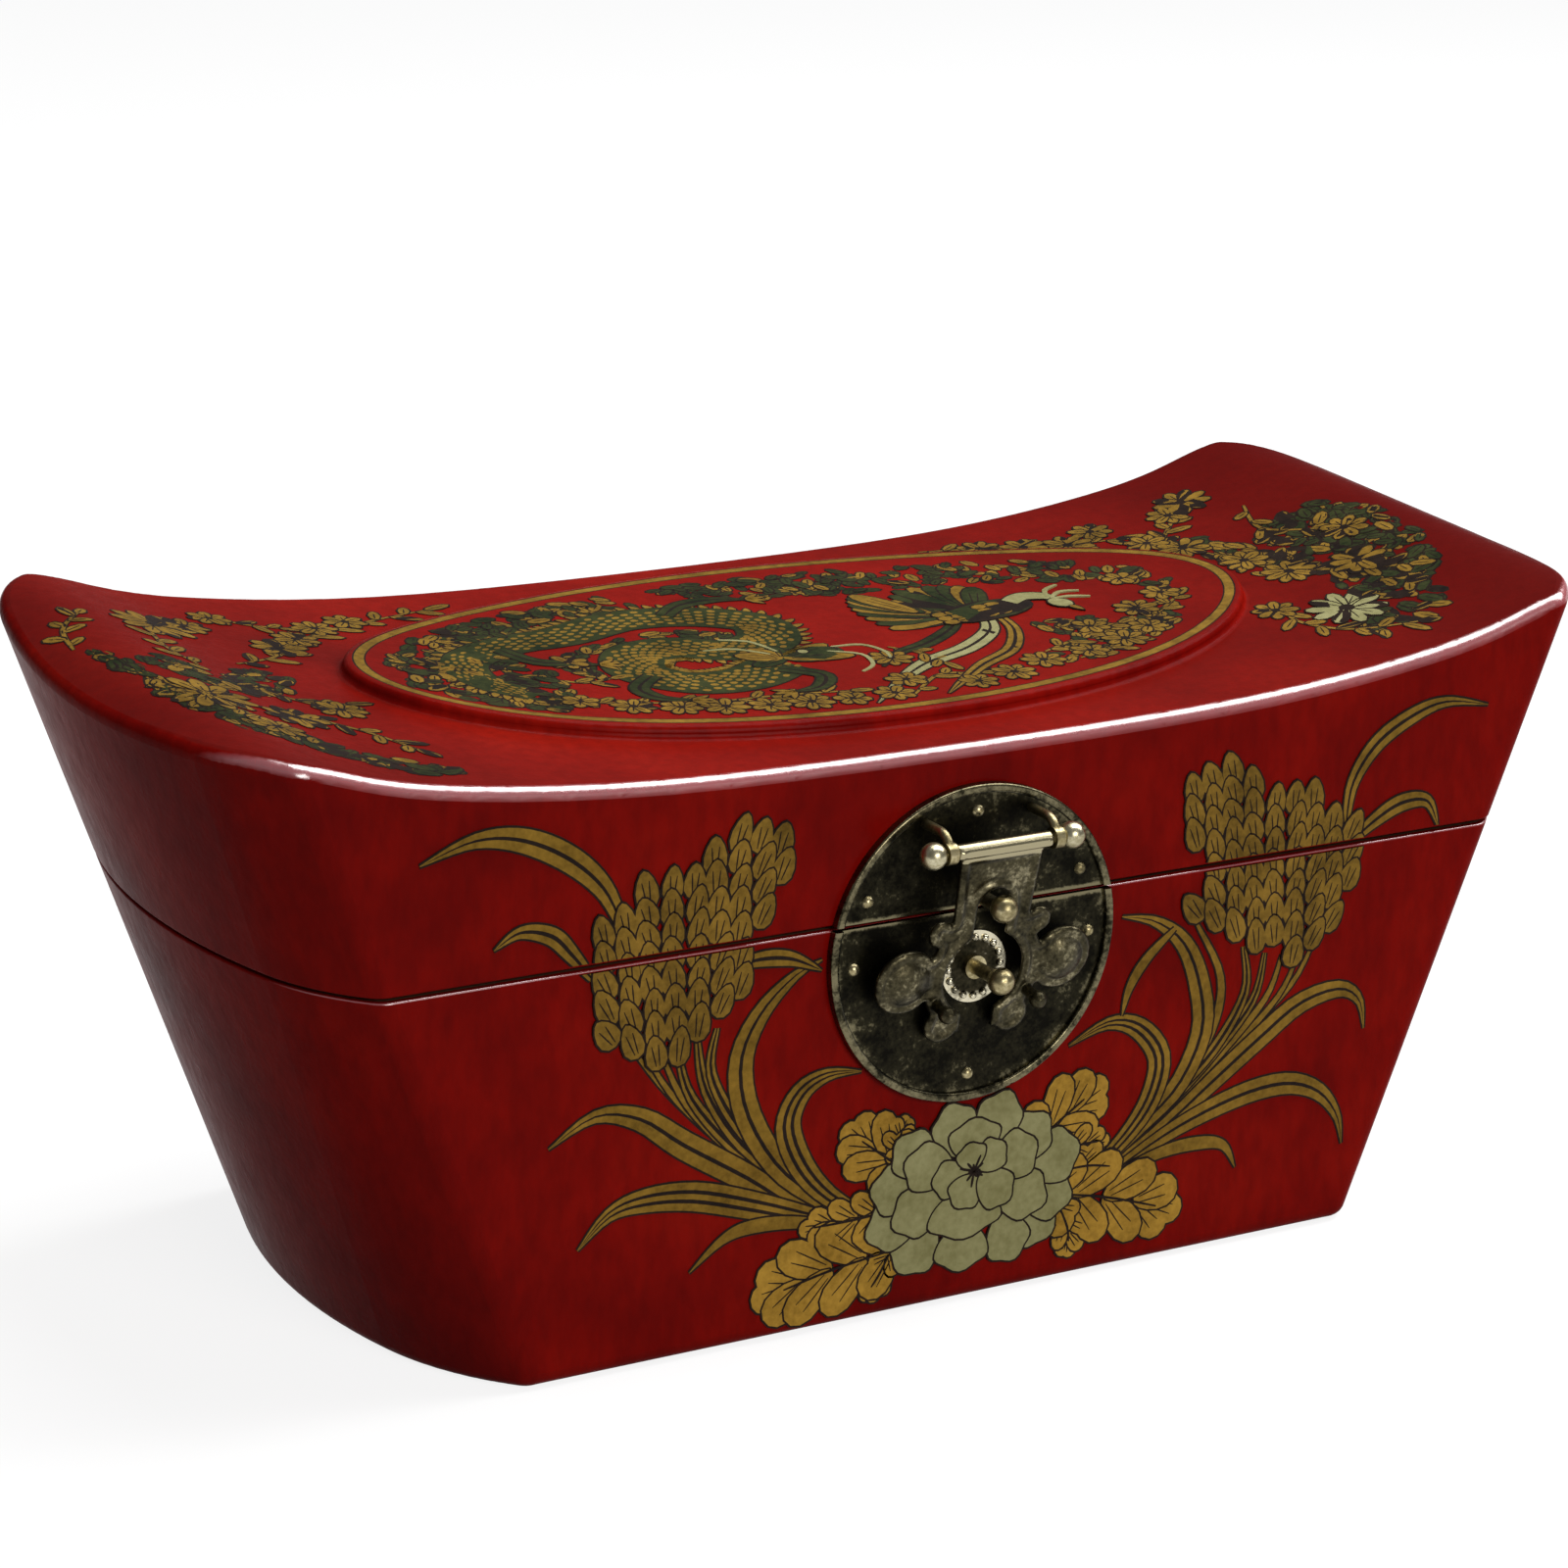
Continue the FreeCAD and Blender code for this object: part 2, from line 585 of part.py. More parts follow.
def save(shape, name):
    """Writes one sub-part, as one solid or as a group of separate ones."""
    solids = shape.Solids
    body = solids[0] if len(solids) == 1 else Part.makeCompound(solids)
    for number, solid in enumerate(solids):
        if not solid.isValid():
            print("not valid:", name, number)
    box = body.optimalBoundingBox()
    print(f"{name}: {len(solids)} solids, {body.Volume:.1f} mm3, x {box.XMin:.1f} {box.XMax:.1f} "
          f"y {box.YMin:.1f} {box.YMax:.1f} z {box.ZMin:.1f} {box.ZMax:.1f}")
    body.exportStep(f"parts/{name}.step")


os.makedirs("parts", exist_ok=True)
make_base()
make_lid()
make_lock_plate()
make_posts()
make_hasp_hinge()
make_hasp()
make_back_hinges()
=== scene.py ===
# %% [markdown]
# A pillow-shaped jewelry box in red lacquered leather, painted with gold ears of grain, a pale
# peony and a raised medallion, and shut by a round brass lock. The solid parts come ready made
# in a fixed frame, in metres, with the front facing -Y and Z up. This lesson gives each of them
# its finish and models what is painted, cast or sewn onto them.

# %% Load the frame
import math
import random
import bmesh
import bpy
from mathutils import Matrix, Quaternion, Vector
from mathutils.bvhtree import BVHTree
from mathutils.kdtree import KDTree


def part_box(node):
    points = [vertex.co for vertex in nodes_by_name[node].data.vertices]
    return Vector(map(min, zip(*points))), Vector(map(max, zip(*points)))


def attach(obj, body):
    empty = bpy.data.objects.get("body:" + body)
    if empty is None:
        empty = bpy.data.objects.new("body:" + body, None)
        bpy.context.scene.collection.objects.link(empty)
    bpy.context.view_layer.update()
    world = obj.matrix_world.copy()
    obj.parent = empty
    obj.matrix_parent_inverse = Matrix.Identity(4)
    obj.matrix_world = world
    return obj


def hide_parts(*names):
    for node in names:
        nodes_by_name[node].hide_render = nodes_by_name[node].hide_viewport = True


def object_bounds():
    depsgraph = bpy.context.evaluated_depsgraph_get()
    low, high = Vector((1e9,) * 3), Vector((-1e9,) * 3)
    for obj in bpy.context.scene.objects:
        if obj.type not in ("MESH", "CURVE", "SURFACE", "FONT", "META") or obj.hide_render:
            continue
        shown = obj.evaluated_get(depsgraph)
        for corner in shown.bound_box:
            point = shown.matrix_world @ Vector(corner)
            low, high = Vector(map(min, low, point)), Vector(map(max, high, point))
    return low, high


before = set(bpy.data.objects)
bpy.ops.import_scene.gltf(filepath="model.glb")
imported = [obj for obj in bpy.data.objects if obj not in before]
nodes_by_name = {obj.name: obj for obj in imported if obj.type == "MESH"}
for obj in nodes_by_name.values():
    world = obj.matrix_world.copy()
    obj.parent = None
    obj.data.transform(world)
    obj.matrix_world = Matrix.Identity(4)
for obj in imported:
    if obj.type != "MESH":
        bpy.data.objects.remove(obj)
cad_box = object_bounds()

MM = 0.001
print("parts in the frame:", len(nodes_by_name))

# %% [markdown]
# A camera is a place, a direction and a lens. The photograph was taken from the front left, a
# little above the lid, with a long lens and a slight tilt to one side. An orbit around a target
# point is easy to picture and to correct: azimuth walks around the box, elevation climbs.

# %% Camera
view_azimuth = math.radians(-30.74)
view_elevation = math.radians(17.28)
view_roll = math.radians(1.7)
view_distance = 882.6 * MM
view_target = Vector((-4.56, 3.84, 83.63)) * MM

offset = Vector((math.sin(view_azimuth) * math.cos(view_elevation),
                 -math.cos(view_azimuth) * math.cos(view_elevation),
                 math.sin(view_elevation)))


def add_object(name, data):
    """A new object in the scene that carries a lens, a lamp or a mesh."""
    thing = bpy.data.objects.new(name, data)
    bpy.context.scene.collection.objects.link(thing)
    return thing


lens = bpy.data.cameras.new("portrait_camera")
lens.lens = 107.3
lens.sensor_width = 36.0
camera = add_object("portrait_camera", lens)
camera.location = view_target + offset * view_distance
camera.rotation_mode = "QUATERNION"
camera.rotation_quaternion = (-offset).to_track_quat("-Z", "Y") @ Quaternion((0, 0, 1), view_roll)
bpy.context.scene.camera = camera
print("camera stands at", [round(value, 3) for value in camera.location])

# %% [markdown]
# Studio light is mostly large and soft. A long panel hangs over the box and off to the right:
# a ray from the camera that bounces off the lid's rounded front rim goes up there, so this panel
# draws the pale line along the rim. A second one stands before the box and models the front,
# while the left end stays in shade. The world adds an even grey. Each panel looks at the box, and
# on the overhead one the width runs from front to back and the depth from left to right.

# %% Lights
def light_panel(name, place, width, depth, power, tint=(1.0, 1.0, 1.0)):
    """A soft rectangular light at a place, turned to the middle of the box."""
    lamp = bpy.data.lights.new(name, "AREA")
    lamp.shape = "RECTANGLE"
    lamp.size = width
    lamp.size_y = depth
    lamp.energy = power
    lamp.color = tint
    panel = add_object(name, lamp)
    panel.location = place
    aim = Vector((0, 0, 0.06)) - Vector(place)
    panel.rotation_mode = "QUATERNION"
    panel.rotation_quaternion = aim.to_track_quat("-Z", "Y")


light_panel("overhead_panel", (0.75, 0.02, 1.35), 0.95, 2.0, 36.0)
light_panel("front_panel", (0.05, -1.75, 0.75), 1.0, 0.8, 17.0, (1.0, 0.97, 0.93))

# %% [markdown]
# A finish is a small network of nodes. Most of the ones below start from the same idea: noise on
# object coordinates, in metres, blends two or three close colours, varies the roughness and
# raises a fine bump. A few helpers keep the networks readable. They add a node with its inputs
# filled, give a noise pattern, do sums and turn a pattern into a blend of colours. An output
# knows the network it belongs to, so a helper that is given one needs nothing else.

# %% Helpers for finishes
def fill(socket, source):
    """Gives an input a value, a colour or the output of another node."""
    if isinstance(source, bpy.types.NodeSocket):
        socket.id_data.links.new(source, socket)
    elif socket.type == "RGBA":
        socket.default_value = (*source, 1.0)
    else:
        socket.default_value = source


def feed(node, **sources):
    """Fills a node's inputs by name, with underscores for spaces."""
    for name, source in sources.items():
        fill(node.inputs[name.replace("_", " ")], source)
    return node


def add_node(tree, kind, **sources):
    """A new node of a kind with its inputs filled."""
    return feed(tree.nodes.new(kind), **sources)


def object_place(tree, stretch=(1.0, 1.0, 1.0)):
    """Object coordinates in metres, stretched or flattened along the axes."""
    place = tree.nodes.new("ShaderNodeTexCoord").outputs["Object"]
    return add_node(tree, "ShaderNodeMapping", Scale=stretch, Vector=place).outputs["Vector"]


def noise(tree, scale, detail=3.0, rough=0.5, stretch=(1.0, 1.0, 1.0)):
    """Noise on object coordinates; a scale of 100 gives marks about a centimetre wide."""
    return add_node(tree, "ShaderNodeTexNoise", Vector=object_place(tree, stretch), Scale=scale,
                    Detail=detail, Roughness=rough).outputs["Fac"]


def ramp(source, stops):
    """Colours laid along a pattern, as pairs of a place from 0 to 1 and a colour."""
    node = add_node(source.id_data, "ShaderNodeValToRGB", Fac=source)
    band = node.color_ramp
    while len(band.elements) < len(stops):
        band.elements.new(0.5)
    for element, (place, colour) in zip(band.elements, stops):
        element.position = place
        element.color = (*colour, 1.0)
    return node.outputs["Color"]


def spread(source, low, high, new_low=0.0, new_high=1.0):
    """A value from one range carried over to another."""
    return add_node(source.id_data, "ShaderNodeMapRange", Value=source, From_Min=low, From_Max=high,
                    To_Min=new_low, To_Max=new_high).outputs["Result"]


def combine(operation, first, second):
    """A value joined by one operation with another value or a number."""
    node = first.id_data.nodes.new("ShaderNodeMath")
    node.operation = operation
    fill(node.inputs[0], first)
    fill(node.inputs[1], second)
    return node.outputs["Value"]


def times(first, second):
    """The product of a value and another value or a number."""
    return combine("MULTIPLY", first, second)


def plus(first, second):
    """The sum of a value and another value or a number."""
    return combine("ADD", first, second)


def tint(amount, first, second):
    """One colour blended towards another by a pattern or a number."""
    node = first.id_data.nodes.new("ShaderNodeMix")
    node.data_type = "RGBA"
    for slot, source in ((0, amount), (6, first), (7, second)):
        fill(node.inputs[slot], source)
    return node.outputs[2]


def new_finish(name, **values):
    """A material with one Principled shader, its plain inputs set by name."""
    material = bpy.data.materials.new(name)
    material.use_nodes = True
    shader = feed(material.node_tree.nodes["Principled BSDF"], **values)
    return material, material.node_tree, shader


def raise_bump(shader, height, distance, strength):
    """Fine relief from a height pattern, with its depth in metres."""
    bump = add_node(shader.id_data, "ShaderNodeBump", Height=height, Distance=distance,
                    Strength=strength)
    feed(shader, Normal=bump.outputs["Normal"])


def far_from(tree, centre, near, far, amount, flatten=(1.0, 1.0, 1.0)):
    """A value that grows to an amount between two distances from a point or, flattened, a line."""
    reach = tree.nodes.new("ShaderNodeVectorMath")
    reach.operation = "DISTANCE"
    fill(reach.inputs[0], object_place(tree, flatten))
    fill(reach.inputs[1], [part * share for part, share in zip(centre, flatten)])
    return spread(reach.outputs["Value"], near, far, 0.0, amount)


print("helpers ready")

# %% [markdown]
# The backdrop has to look white to the camera, yet must not light the box more than plain
# studio air would. Light Path tells a material what kind of ray is asking, so camera, mirror and
# glass rays see a floor with a white glow added to its paint, and every other ray sees plain
# grey paint. The painted share keeps the box's soft shadow. From the photograph's height the
# floor fills the whole view. The world behind it stays an even grey, which shows only in very
# low views.

# %% Floor and backdrop
world = bpy.data.worlds.new("studio_air")
bpy.context.scene.world = world
world.use_nodes = True
feed(world.node_tree.nodes["Background"], Color=(0.97, 0.98, 1.0), Strength=0.20)

floor_paint = bpy.data.materials.new("floor_paint")
floor_paint.use_nodes = True
tree = floor_paint.node_tree
tree.nodes.clear()
matte = add_node(tree, "ShaderNodeBsdfDiffuse", Color=(0.22, 0.22, 0.22))
grey = add_node(tree, "ShaderNodeBsdfDiffuse", Color=(0.30, 0.30, 0.30))
glow = add_node(tree, "ShaderNodeEmission", Color=(1.0, 1.0, 1.0), Strength=0.84)
path = tree.nodes.new("ShaderNodeLightPath")
seen_directly = combine("MAXIMUM", path.outputs["Is Camera Ray"], path.outputs["Is Glossy Ray"])
seen_directly = combine("MAXIMUM", seen_directly, path.outputs["Is Transmission Ray"])
both = tree.nodes.new("ShaderNodeAddShader")
choice = tree.nodes.new("ShaderNodeMixShader")
for mixer, sources in ((both, (matte.outputs[0], glow.outputs[0])),
                       (choice, (seen_directly, grey.outputs[0], both.outputs[0]))):
    for socket, source in zip(mixer.inputs, sources):
        fill(socket, source)
add_node(tree, "ShaderNodeOutputMaterial", Surface=choice.outputs[0])


def add_mesh(name, bm, *materials):
    """A new mesh object made from a bmesh, which is then freed."""
    mesh = bpy.data.meshes.new(name)
    bm.to_mesh(mesh)
    bm.free()
    for material in materials:
        mesh.materials.append(material)
    return add_object(name, mesh)


bm = bmesh.new()
bmesh.ops.create_grid(bm, x_segments=1, y_segments=1, size=4.0)
floor = add_mesh("studio_floor", bm, floor_paint)
floor.location.z = cad_box[0][2] - 0.2 * MM
bpy.context.scene.view_settings.view_transform = "Standard"
print("floor lies at", round(floor.location.z, 5))

# %% [markdown]
# Lacquered leather: thin pigskin glued over the boards, stained deep red, rubbed darker in the
# grain and sealed with lacquer. The skin shows soft clouds of darker red and a fine pebbled
# grain. Years of handling polish the front and back rims first, the level top next and the upright
# faces least. The direction a surface faces tells them apart, so two masks made from the normal
# steer the weight of the clear coat, and the lid's front rim catches a line of light. The same masks
# also paint light into the colour: a pale pink painted highlight on the rims and a lighter painted
# tone on the level top. The raised oval's own edge is left out of the rim mask. Painted shade
# darkens the level top towards the lid's ends.

# %% Red lacquered leather
oval_middle = (0.0, 3.5)
oval_half = (94.0, 45.5)


def gloss_and_painted_light_masks(tree):
    """A mask of the rounded front and back rims off the oval, and a mask of level leather."""
    normal = tree.nodes.new("ShaderNodeTexCoord").outputs["Normal"]
    facing = add_node(tree, "ShaderNodeSeparateXYZ", Vector=normal).outputs
    forward = times(facing["Y"], facing["Y"])
    rims = times(spread(facing["Z"], 0.12, 0.45), spread(forward, 0.06, 0.20))
    squeeze = [1 / (half * MM) for half in oval_half]
    off_oval = far_from(tree, [part * MM for part in (*oval_middle, 0.0)], 1.05, 1.10, 1.0,
                        (*squeeze, 0.0))
    level = times(spread(facing["Z"], 0.80, 0.92), spread(forward, 0.06, 0.20, 1.0, 0.0))
    return times(rims, off_oval), level


lacquer, tree, shader = new_finish("red_lacquered_leather", IOR=1.45, Specular_IOR_Level=0.005,
                                   Coat_Roughness=0.25, Coat_IOR=3.2)
stain_and_painted_light = ramp(noise(tree, 26.0, 4.0, 0.55), [(0.30, (0.118, 0.0015, 0.0010)),
                                            (0.52, (0.195, 0.0030, 0.0014)),
                                            (0.75, (0.250, 0.0065, 0.0026))])
fibres = noise(tree, 420.0, 3.0, 0.6, (1.0, 1.0, 0.35))
stain_and_painted_light = tint(spread(fibres, 0.35, 0.70), stain_and_painted_light, tint(0.35, stain_and_painted_light, (0.06, 0.001, 0.001)))
rims, level = gloss_and_painted_light_masks(tree)
# Painted highlight: a pale pink tint on the front and back rims, along the line of light from the
# overhead panel.
stain_and_painted_light = tint(times(rims, 0.40), stain_and_painted_light, (0.50, 0.075, 0.100))
# Painted light: the level top is tinted lighter and paler, as where the overhead light falls on it.
stain_and_painted_light = tint(times(level, 0.15), stain_and_painted_light, (0.30, 0.022, 0.012))
# Painted shade: the level top darkens from 60 to 165 mm either side of a point 20 mm left of the middle.
ends = far_from(tree, (-20 * MM, 0.0, 0.0), 60 * MM, 165 * MM, 0.85, (1.0, 0.0, 0.0))
stain_and_painted_light = tint(times(level, ends), stain_and_painted_light, (0.060, 0.0010, 0.0007))
grain = add_node(tree, "ShaderNodeTexVoronoi", Vector=object_place(tree), Scale=900.0)
pebbles = times(grain.outputs["Distance"], 0.6)
raise_bump(shader, plus(pebbles, noise(tree, 260.0, 4.0, 0.6)), 0.12 * MM, 0.35)
satin = spread(fibres, 0.3, 0.7, 0.26, 0.36)
gloss = plus(plus(times(rims, 0.97), times(level, 0.045)), 0.008)
feed(shader, Base_Color=stain_and_painted_light, Roughness=plus(satin, times(rims, -0.14)), Coat_Weight=gloss)
print("leather stain:", lacquer.name)

# %% [markdown]
# The paints. Gold ochre was laid on flat with a soft brush, so it is thin, a little uneven and
# only faintly metallic. The veins and outlines are drawn over it in black ink. The peony is a
# pale grey-green body colour, and the lid's dragon and bird have a dark green underpaint.

# %% Paints
def paint(name, dark, light, roughness, metallic=0.0):
    """Brushed paint: two close shades, streaked and clouded, with a faint brush relief."""
    material, tree, shader = new_finish(name, Metallic=metallic, Specular_IOR_Level=0.05)
    streaks = noise(tree, 700.0, 3.0, 0.6)
    blend = plus(times(streaks, 0.45), times(noise(tree, 110.0), 0.55))
    raise_bump(shader, streaks, 0.04 * MM, 0.5)
    feed(shader, Base_Color=ramp(blend, [(0.35, dark), (0.65, light)]),
         Roughness=spread(streaks, 0.3, 0.7, roughness - 0.08, roughness + 0.08))
    return material


paints = {
    "ink": paint("black_ink", (0.008, 0.005, 0.004), (0.022, 0.013, 0.009), 0.42),
    "gold": paint("gold_ochre_paint", (0.115, 0.064, 0.008), (0.280, 0.160, 0.022), 0.50, 0.15),
    "dull_gold": paint("dull_gold_paint", (0.095, 0.054, 0.008), (0.260, 0.150, 0.023), 0.52, 0.15),
    "warm_gold": paint("warm_gold_paint", (0.200, 0.108, 0.013), (0.440, 0.250, 0.036), 0.50, 0.15),
    "petal": paint("pale_petal_paint", (0.185, 0.172, 0.068), (0.300, 0.285, 0.135), 0.50),
    "moss": paint("dark_green_paint", (0.010, 0.016, 0.005), (0.040, 0.046, 0.014), 0.50)}
print("paints:", [material.name for material in paints.values()])

# %% [markdown]
# Aged brass: the fittings are cast or cut from yellow metal and chemically darkened. Handling
# has rubbed the high spots back to a pale gold, while the patina stays in the low ones. Large
# noise sets where the patina is thick, fine noise breaks it up, and rubbed places are smoother.
# Distances from the lock's centre, its seam, the hasp's pin and the rosette's middle say where it
# is worn most.

# %% Aged brass
def aged_brass(name, patina, metal, bare, low, high, places=()):
    """Brass under a broken patina; places are values that add wear where hands rub it."""
    material, tree, shader = new_finish(name, Metallic=1.0)
    wear = plus(times(noise(tree, 180.0, 4.0, 0.6), 0.6), times(noise(tree, 1300.0, 3.0, 0.6), 0.4))
    for spot in places:
        wear = plus(wear, far_from(tree, *spot))
    raise_bump(shader, wear, 0.12 * MM, 0.5)
    feed(shader, Base_Color=ramp(wear, [(low, patina), ((low + high) / 2, metal), (high, bare)]),
         Roughness=spread(wear, low, high, 0.46, 0.24))
    return material


def middle_of(node):
    """The middle of a ready-made part's box."""
    return [(low + high) / 2 for low, high in zip(*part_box(node))]


lower_plate, upper_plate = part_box("lower_lock_plate"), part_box("upper_lock_plate")
lock_centre = (0.0, lower_plate[0][1], (lower_plate[0][2] + upper_plate[1][2]) / 2)
seam_level = (lower_plate[1][2] + upper_plate[0][2]) / 2
plate_brass = aged_brass("darkened_plate_brass", (0.005, 0.0045, 0.003), (0.018, 0.016, 0.009),
                         (0.160, 0.140, 0.080), 0.42, 0.74,
                         [(lock_centre, 26.5 * MM, 29.2 * MM, 0.18),
                          ((0.0, 0.0, seam_level), 1.3 * MM, 0.4 * MM, 0.40, (0.0, 0.0, 1.0))])
cast_brass = aged_brass("cast_hasp_brass", (0.016, 0.014, 0.008), (0.065, 0.056, 0.031),
                        (0.340, 0.300, 0.185), 0.38, 0.70,
                        [(middle_of("hasp_hinge_pin"), 2.4 * MM, 2.1 * MM, 0.45, (0.0, 1.0, 1.0))])
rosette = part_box("lower_post_rosette")
rosette_reach = (rosette[1][0] - rosette[0][0]) / 2
beaded_brass = aged_brass("beaded_rosette_brass", (0.010, 0.009, 0.005), (0.040, 0.034, 0.019),
                          (0.620, 0.570, 0.420), 0.40, 0.76,
                          [(middle_of("lower_post_rosette"), rosette_reach - 2.2 * MM,
                            rosette_reach - 1.4 * MM, 0.24, (1.0, 0.0, 1.0))])
rubbed_brass = aged_brass("rubbed_brass", (0.100, 0.082, 0.040), (0.270, 0.225, 0.115),
                          (0.560, 0.490, 0.300), 0.34, 0.68)
steel_rod = aged_brass("bright_pin_metal", (0.150, 0.130, 0.075), (0.340, 0.300, 0.180),
                       (0.620, 0.570, 0.400), 0.30, 0.62)
print("brass wears most near", [round(part, 4) for part in lock_centre])

# %% [markdown]
# The lining is a satin, dyed crimson and a little faded. Its weave is three fine waves, one
# along each axis, so that it shows on every wall. The boards under the leather are plain dark
# wood, whose rings are noise stretched along the box.

# %% Satin and wood
cloth, tree, shader = new_finish("crimson_lining_satin", Sheen_Weight=0.10, Specular_IOR_Level=0.20)
threads = None
for direction in ("X", "Y", "Z"):
    wave = add_node(tree, "ShaderNodeTexWave", Vector=object_place(tree), Scale=450.0, Distortion=1.5,
                    Detail=1.0)
    wave.bands_direction = direction
    threads = plus(threads, wave.outputs["Fac"]) if threads else wave.outputs["Fac"]
weave = times(threads, 0.33)
dyed = ramp(noise(tree, 45.0), [(0.30, (0.240, 0.010, 0.016)), (0.70, (0.350, 0.018, 0.026))])
dyed = tint(spread(weave, 0.2, 0.8, 0.0, 0.18), dyed, (0.150, 0.006, 0.010))
raise_bump(shader, weave, 0.10 * MM, 0.35)
feed(shader, Base_Color=dyed, Roughness=spread(weave, 0.2, 0.8, 0.42, 0.60))

wood, tree, shader = new_finish("carcass_wood", Coat_Weight=0.10)
rings = noise(tree, 90.0, 4.0, 0.6, (0.12, 1.0, 1.0))
raise_bump(shader, rings, 0.2 * MM, 0.4)
feed(shader, Base_Color=ramp(rings, [(0.30, (0.045, 0.020, 0.010)), (0.60, (0.085, 0.040, 0.020))]),
     Roughness=spread(rings, 0.3, 0.7, 0.45, 0.65))
print("finishes ready:", cloth.name, wood.name)

# %% [markdown]
# Every part that came ready made now gets its finish. A part keeps its mesh, only its material
# slots change. The boards' rims show at the seam when the lid is up, so they are dark wood, and
# the thin leather bottom wears the same lacquer as the sides.

# %% Dress the ready-made parts
def dress(names, material):
    """Gives ready-made parts one finish."""
    for name in names:
        mesh = nodes_by_name[name].data
        mesh.materials.clear()
        mesh.materials.append(material)


dress([name for name in nodes_by_name if name.endswith(("_board", "_end"))], wood)
dress(["base_leather_cover", "lid_leather_cover", "base_bottom_board"], lacquer)
dress(["upper_lock_plate", "lower_lock_plate"], plate_brass)
dress(["hasp"], cast_brass)
dress(["upper_plate_nails", "lower_plate_nails", "upper_ball_post", "lower_ball_post", "hasp_eye_posts"],
      rubbed_brass)
dress(["hasp_hinge_pin"], steel_rod)
dress(["lower_post_rosette"], beaded_brass)
dress([name for name in nodes_by_name if "hinge_" in name and "hasp" not in name], cast_brass)
print("dressed", len(nodes_by_name), "parts")

# %% [markdown]
# Painted ornament could be an image, but an image blurs up close and belongs to one picture.
# Here every stroke is its own thin film of paint: a flat bmesh shape drawn in millimetres on an
# imaginary sheet, with its height above the leather, counted in films, as the third number. A
# later step gives the films their thickness and lays the sheet on the front or the curved lid.
#
# A stroke starts as a flat grid from create_grid, one square high and many squares long, whose
# points are moved onto a smooth path. A rounded shape starts from create_circle.

# %% Strokes and rounded shapes
film = 0.008
outline_width = 0.38


def new_sheet():
    """An empty sheet: one flat bmesh for each paint."""
    return {paint_name: bmesh.new() for paint_name in paints}


def toward(turn):
    """A step of one along a direction in radians."""
    return Vector((math.cos(turn), math.sin(turn)))


def heading_of(side):
    """The direction of travel in degrees, from the direction to its left."""
    return math.degrees(math.atan2(-side.x, side.y))


def smooth_path(points, count):
    """Places and sideways directions along a smooth curve through a few points."""
    knots = [Vector(point) for point in (points[0], *points, points[-1])]
    spans = len(points) - 1
    path = []
    for step in range(count + 1):
        along = step / count * spans
        span = min(int(along), spans - 1)
        t = along - span
        a, b, c, d = knots[span:span + 4]
        place = 0.5 * (2 * b + (c - a) * t + (2 * a - 5 * b + 4 * c - d) * t ** 2
                       + (3 * b - a - 3 * c + d) * t ** 3)
        ahead = 0.5 * ((c - a) + 2 * (2 * a - 5 * b + 4 * c - d) * t
                       + 3 * (3 * b - a - 3 * c + d) * t ** 2)
        ahead = ahead.normalized() if ahead.length > 1e-6 else (c - b).normalized()
        path.append((place, Vector((-ahead.y, ahead.x))))
    return path


def ribbon(bm, path, left, right, height):
    """A strip along a path; left and right give its edges in millimetres at a share of the way."""
    count = len(path) - 1
    grid = bmesh.ops.create_grid(bm, x_segments=count, y_segments=1, size=1.0)
    for vert in grid["verts"]:
        station = round((vert.co.x + 1) / 2 * count)
        place, side = path[station]
        shift = left(station / count) if vert.co.y > 0 else right(station / count)
        vert.co = (*(place + side * shift), height)


def swelling(share, root=0.35, peak=0.45):
    """The width of a grass blade along its length: narrow root, full middle, fine tip."""
    if share < peak:
        return root + (1 - root) * math.sin(share / peak * math.pi / 2)
    return max(math.cos((share - peak) / (1 - peak) * math.pi / 2), 0.04)


def line(bm, points, width, height, count=10):
    """A fine line of ink or gold that thins out at both ends."""
    path = smooth_path(points, count)
    half = lambda share: width / 2 * (0.35 + 0.65 * math.sin(math.pi * (0.1 + 0.8 * share)))
    ribbon(bm, path, half, lambda share: -half(share), height)


def blade(sheet, points, width, strands, height, body="gold", root=0.35, count=24):
    """A blade of grass: a dark bed with parallel strands of paint on it."""
    path = smooth_path(points, count)
    edge = lambda share: width * swelling(share, root) / 2
    ribbon(sheet["ink"], path, lambda share: edge(share) + outline_width,
           lambda share: -edge(share) - outline_width, height)
    for strand in range(strands):
        low = strand / strands
        high = (strand + 1) / strands
        gap = outline_width
        ribbon(sheet[body], path,
               lambda share: edge(share) * (2 * high - 1) - (gap if high < 1 else 0) * swelling(share),
               lambda share: edge(share) * (2 * low - 1) + (gap if low > 0 else 0) * swelling(share),
               height + 1)


def tongue(bm, root, angle, length, width, height, ripple, fullness, sides):
    """A rounded tongue, such as a scale or petal, from its root along an angle in degrees."""
    ahead = toward(math.radians(angle))
    side = Vector((-ahead.y, ahead.x))
    ring = bmesh.ops.create_circle(bm, segments=sides, radius=1.0, cap_ends=True)
    for vert in ring["verts"]:
        turn = math.atan2(vert.co.y, vert.co.x)
        wave = 1 + ripple * math.cos(5 * turn) * max(math.cos(turn), 0)
        along = length * (1 + math.cos(turn) * wave) / 2
        across = width / 2 * math.sin(turn) * (1 + fullness * math.cos(turn)) * wave
        vert.co = (*(Vector(root) + ahead * along + side * across), height)


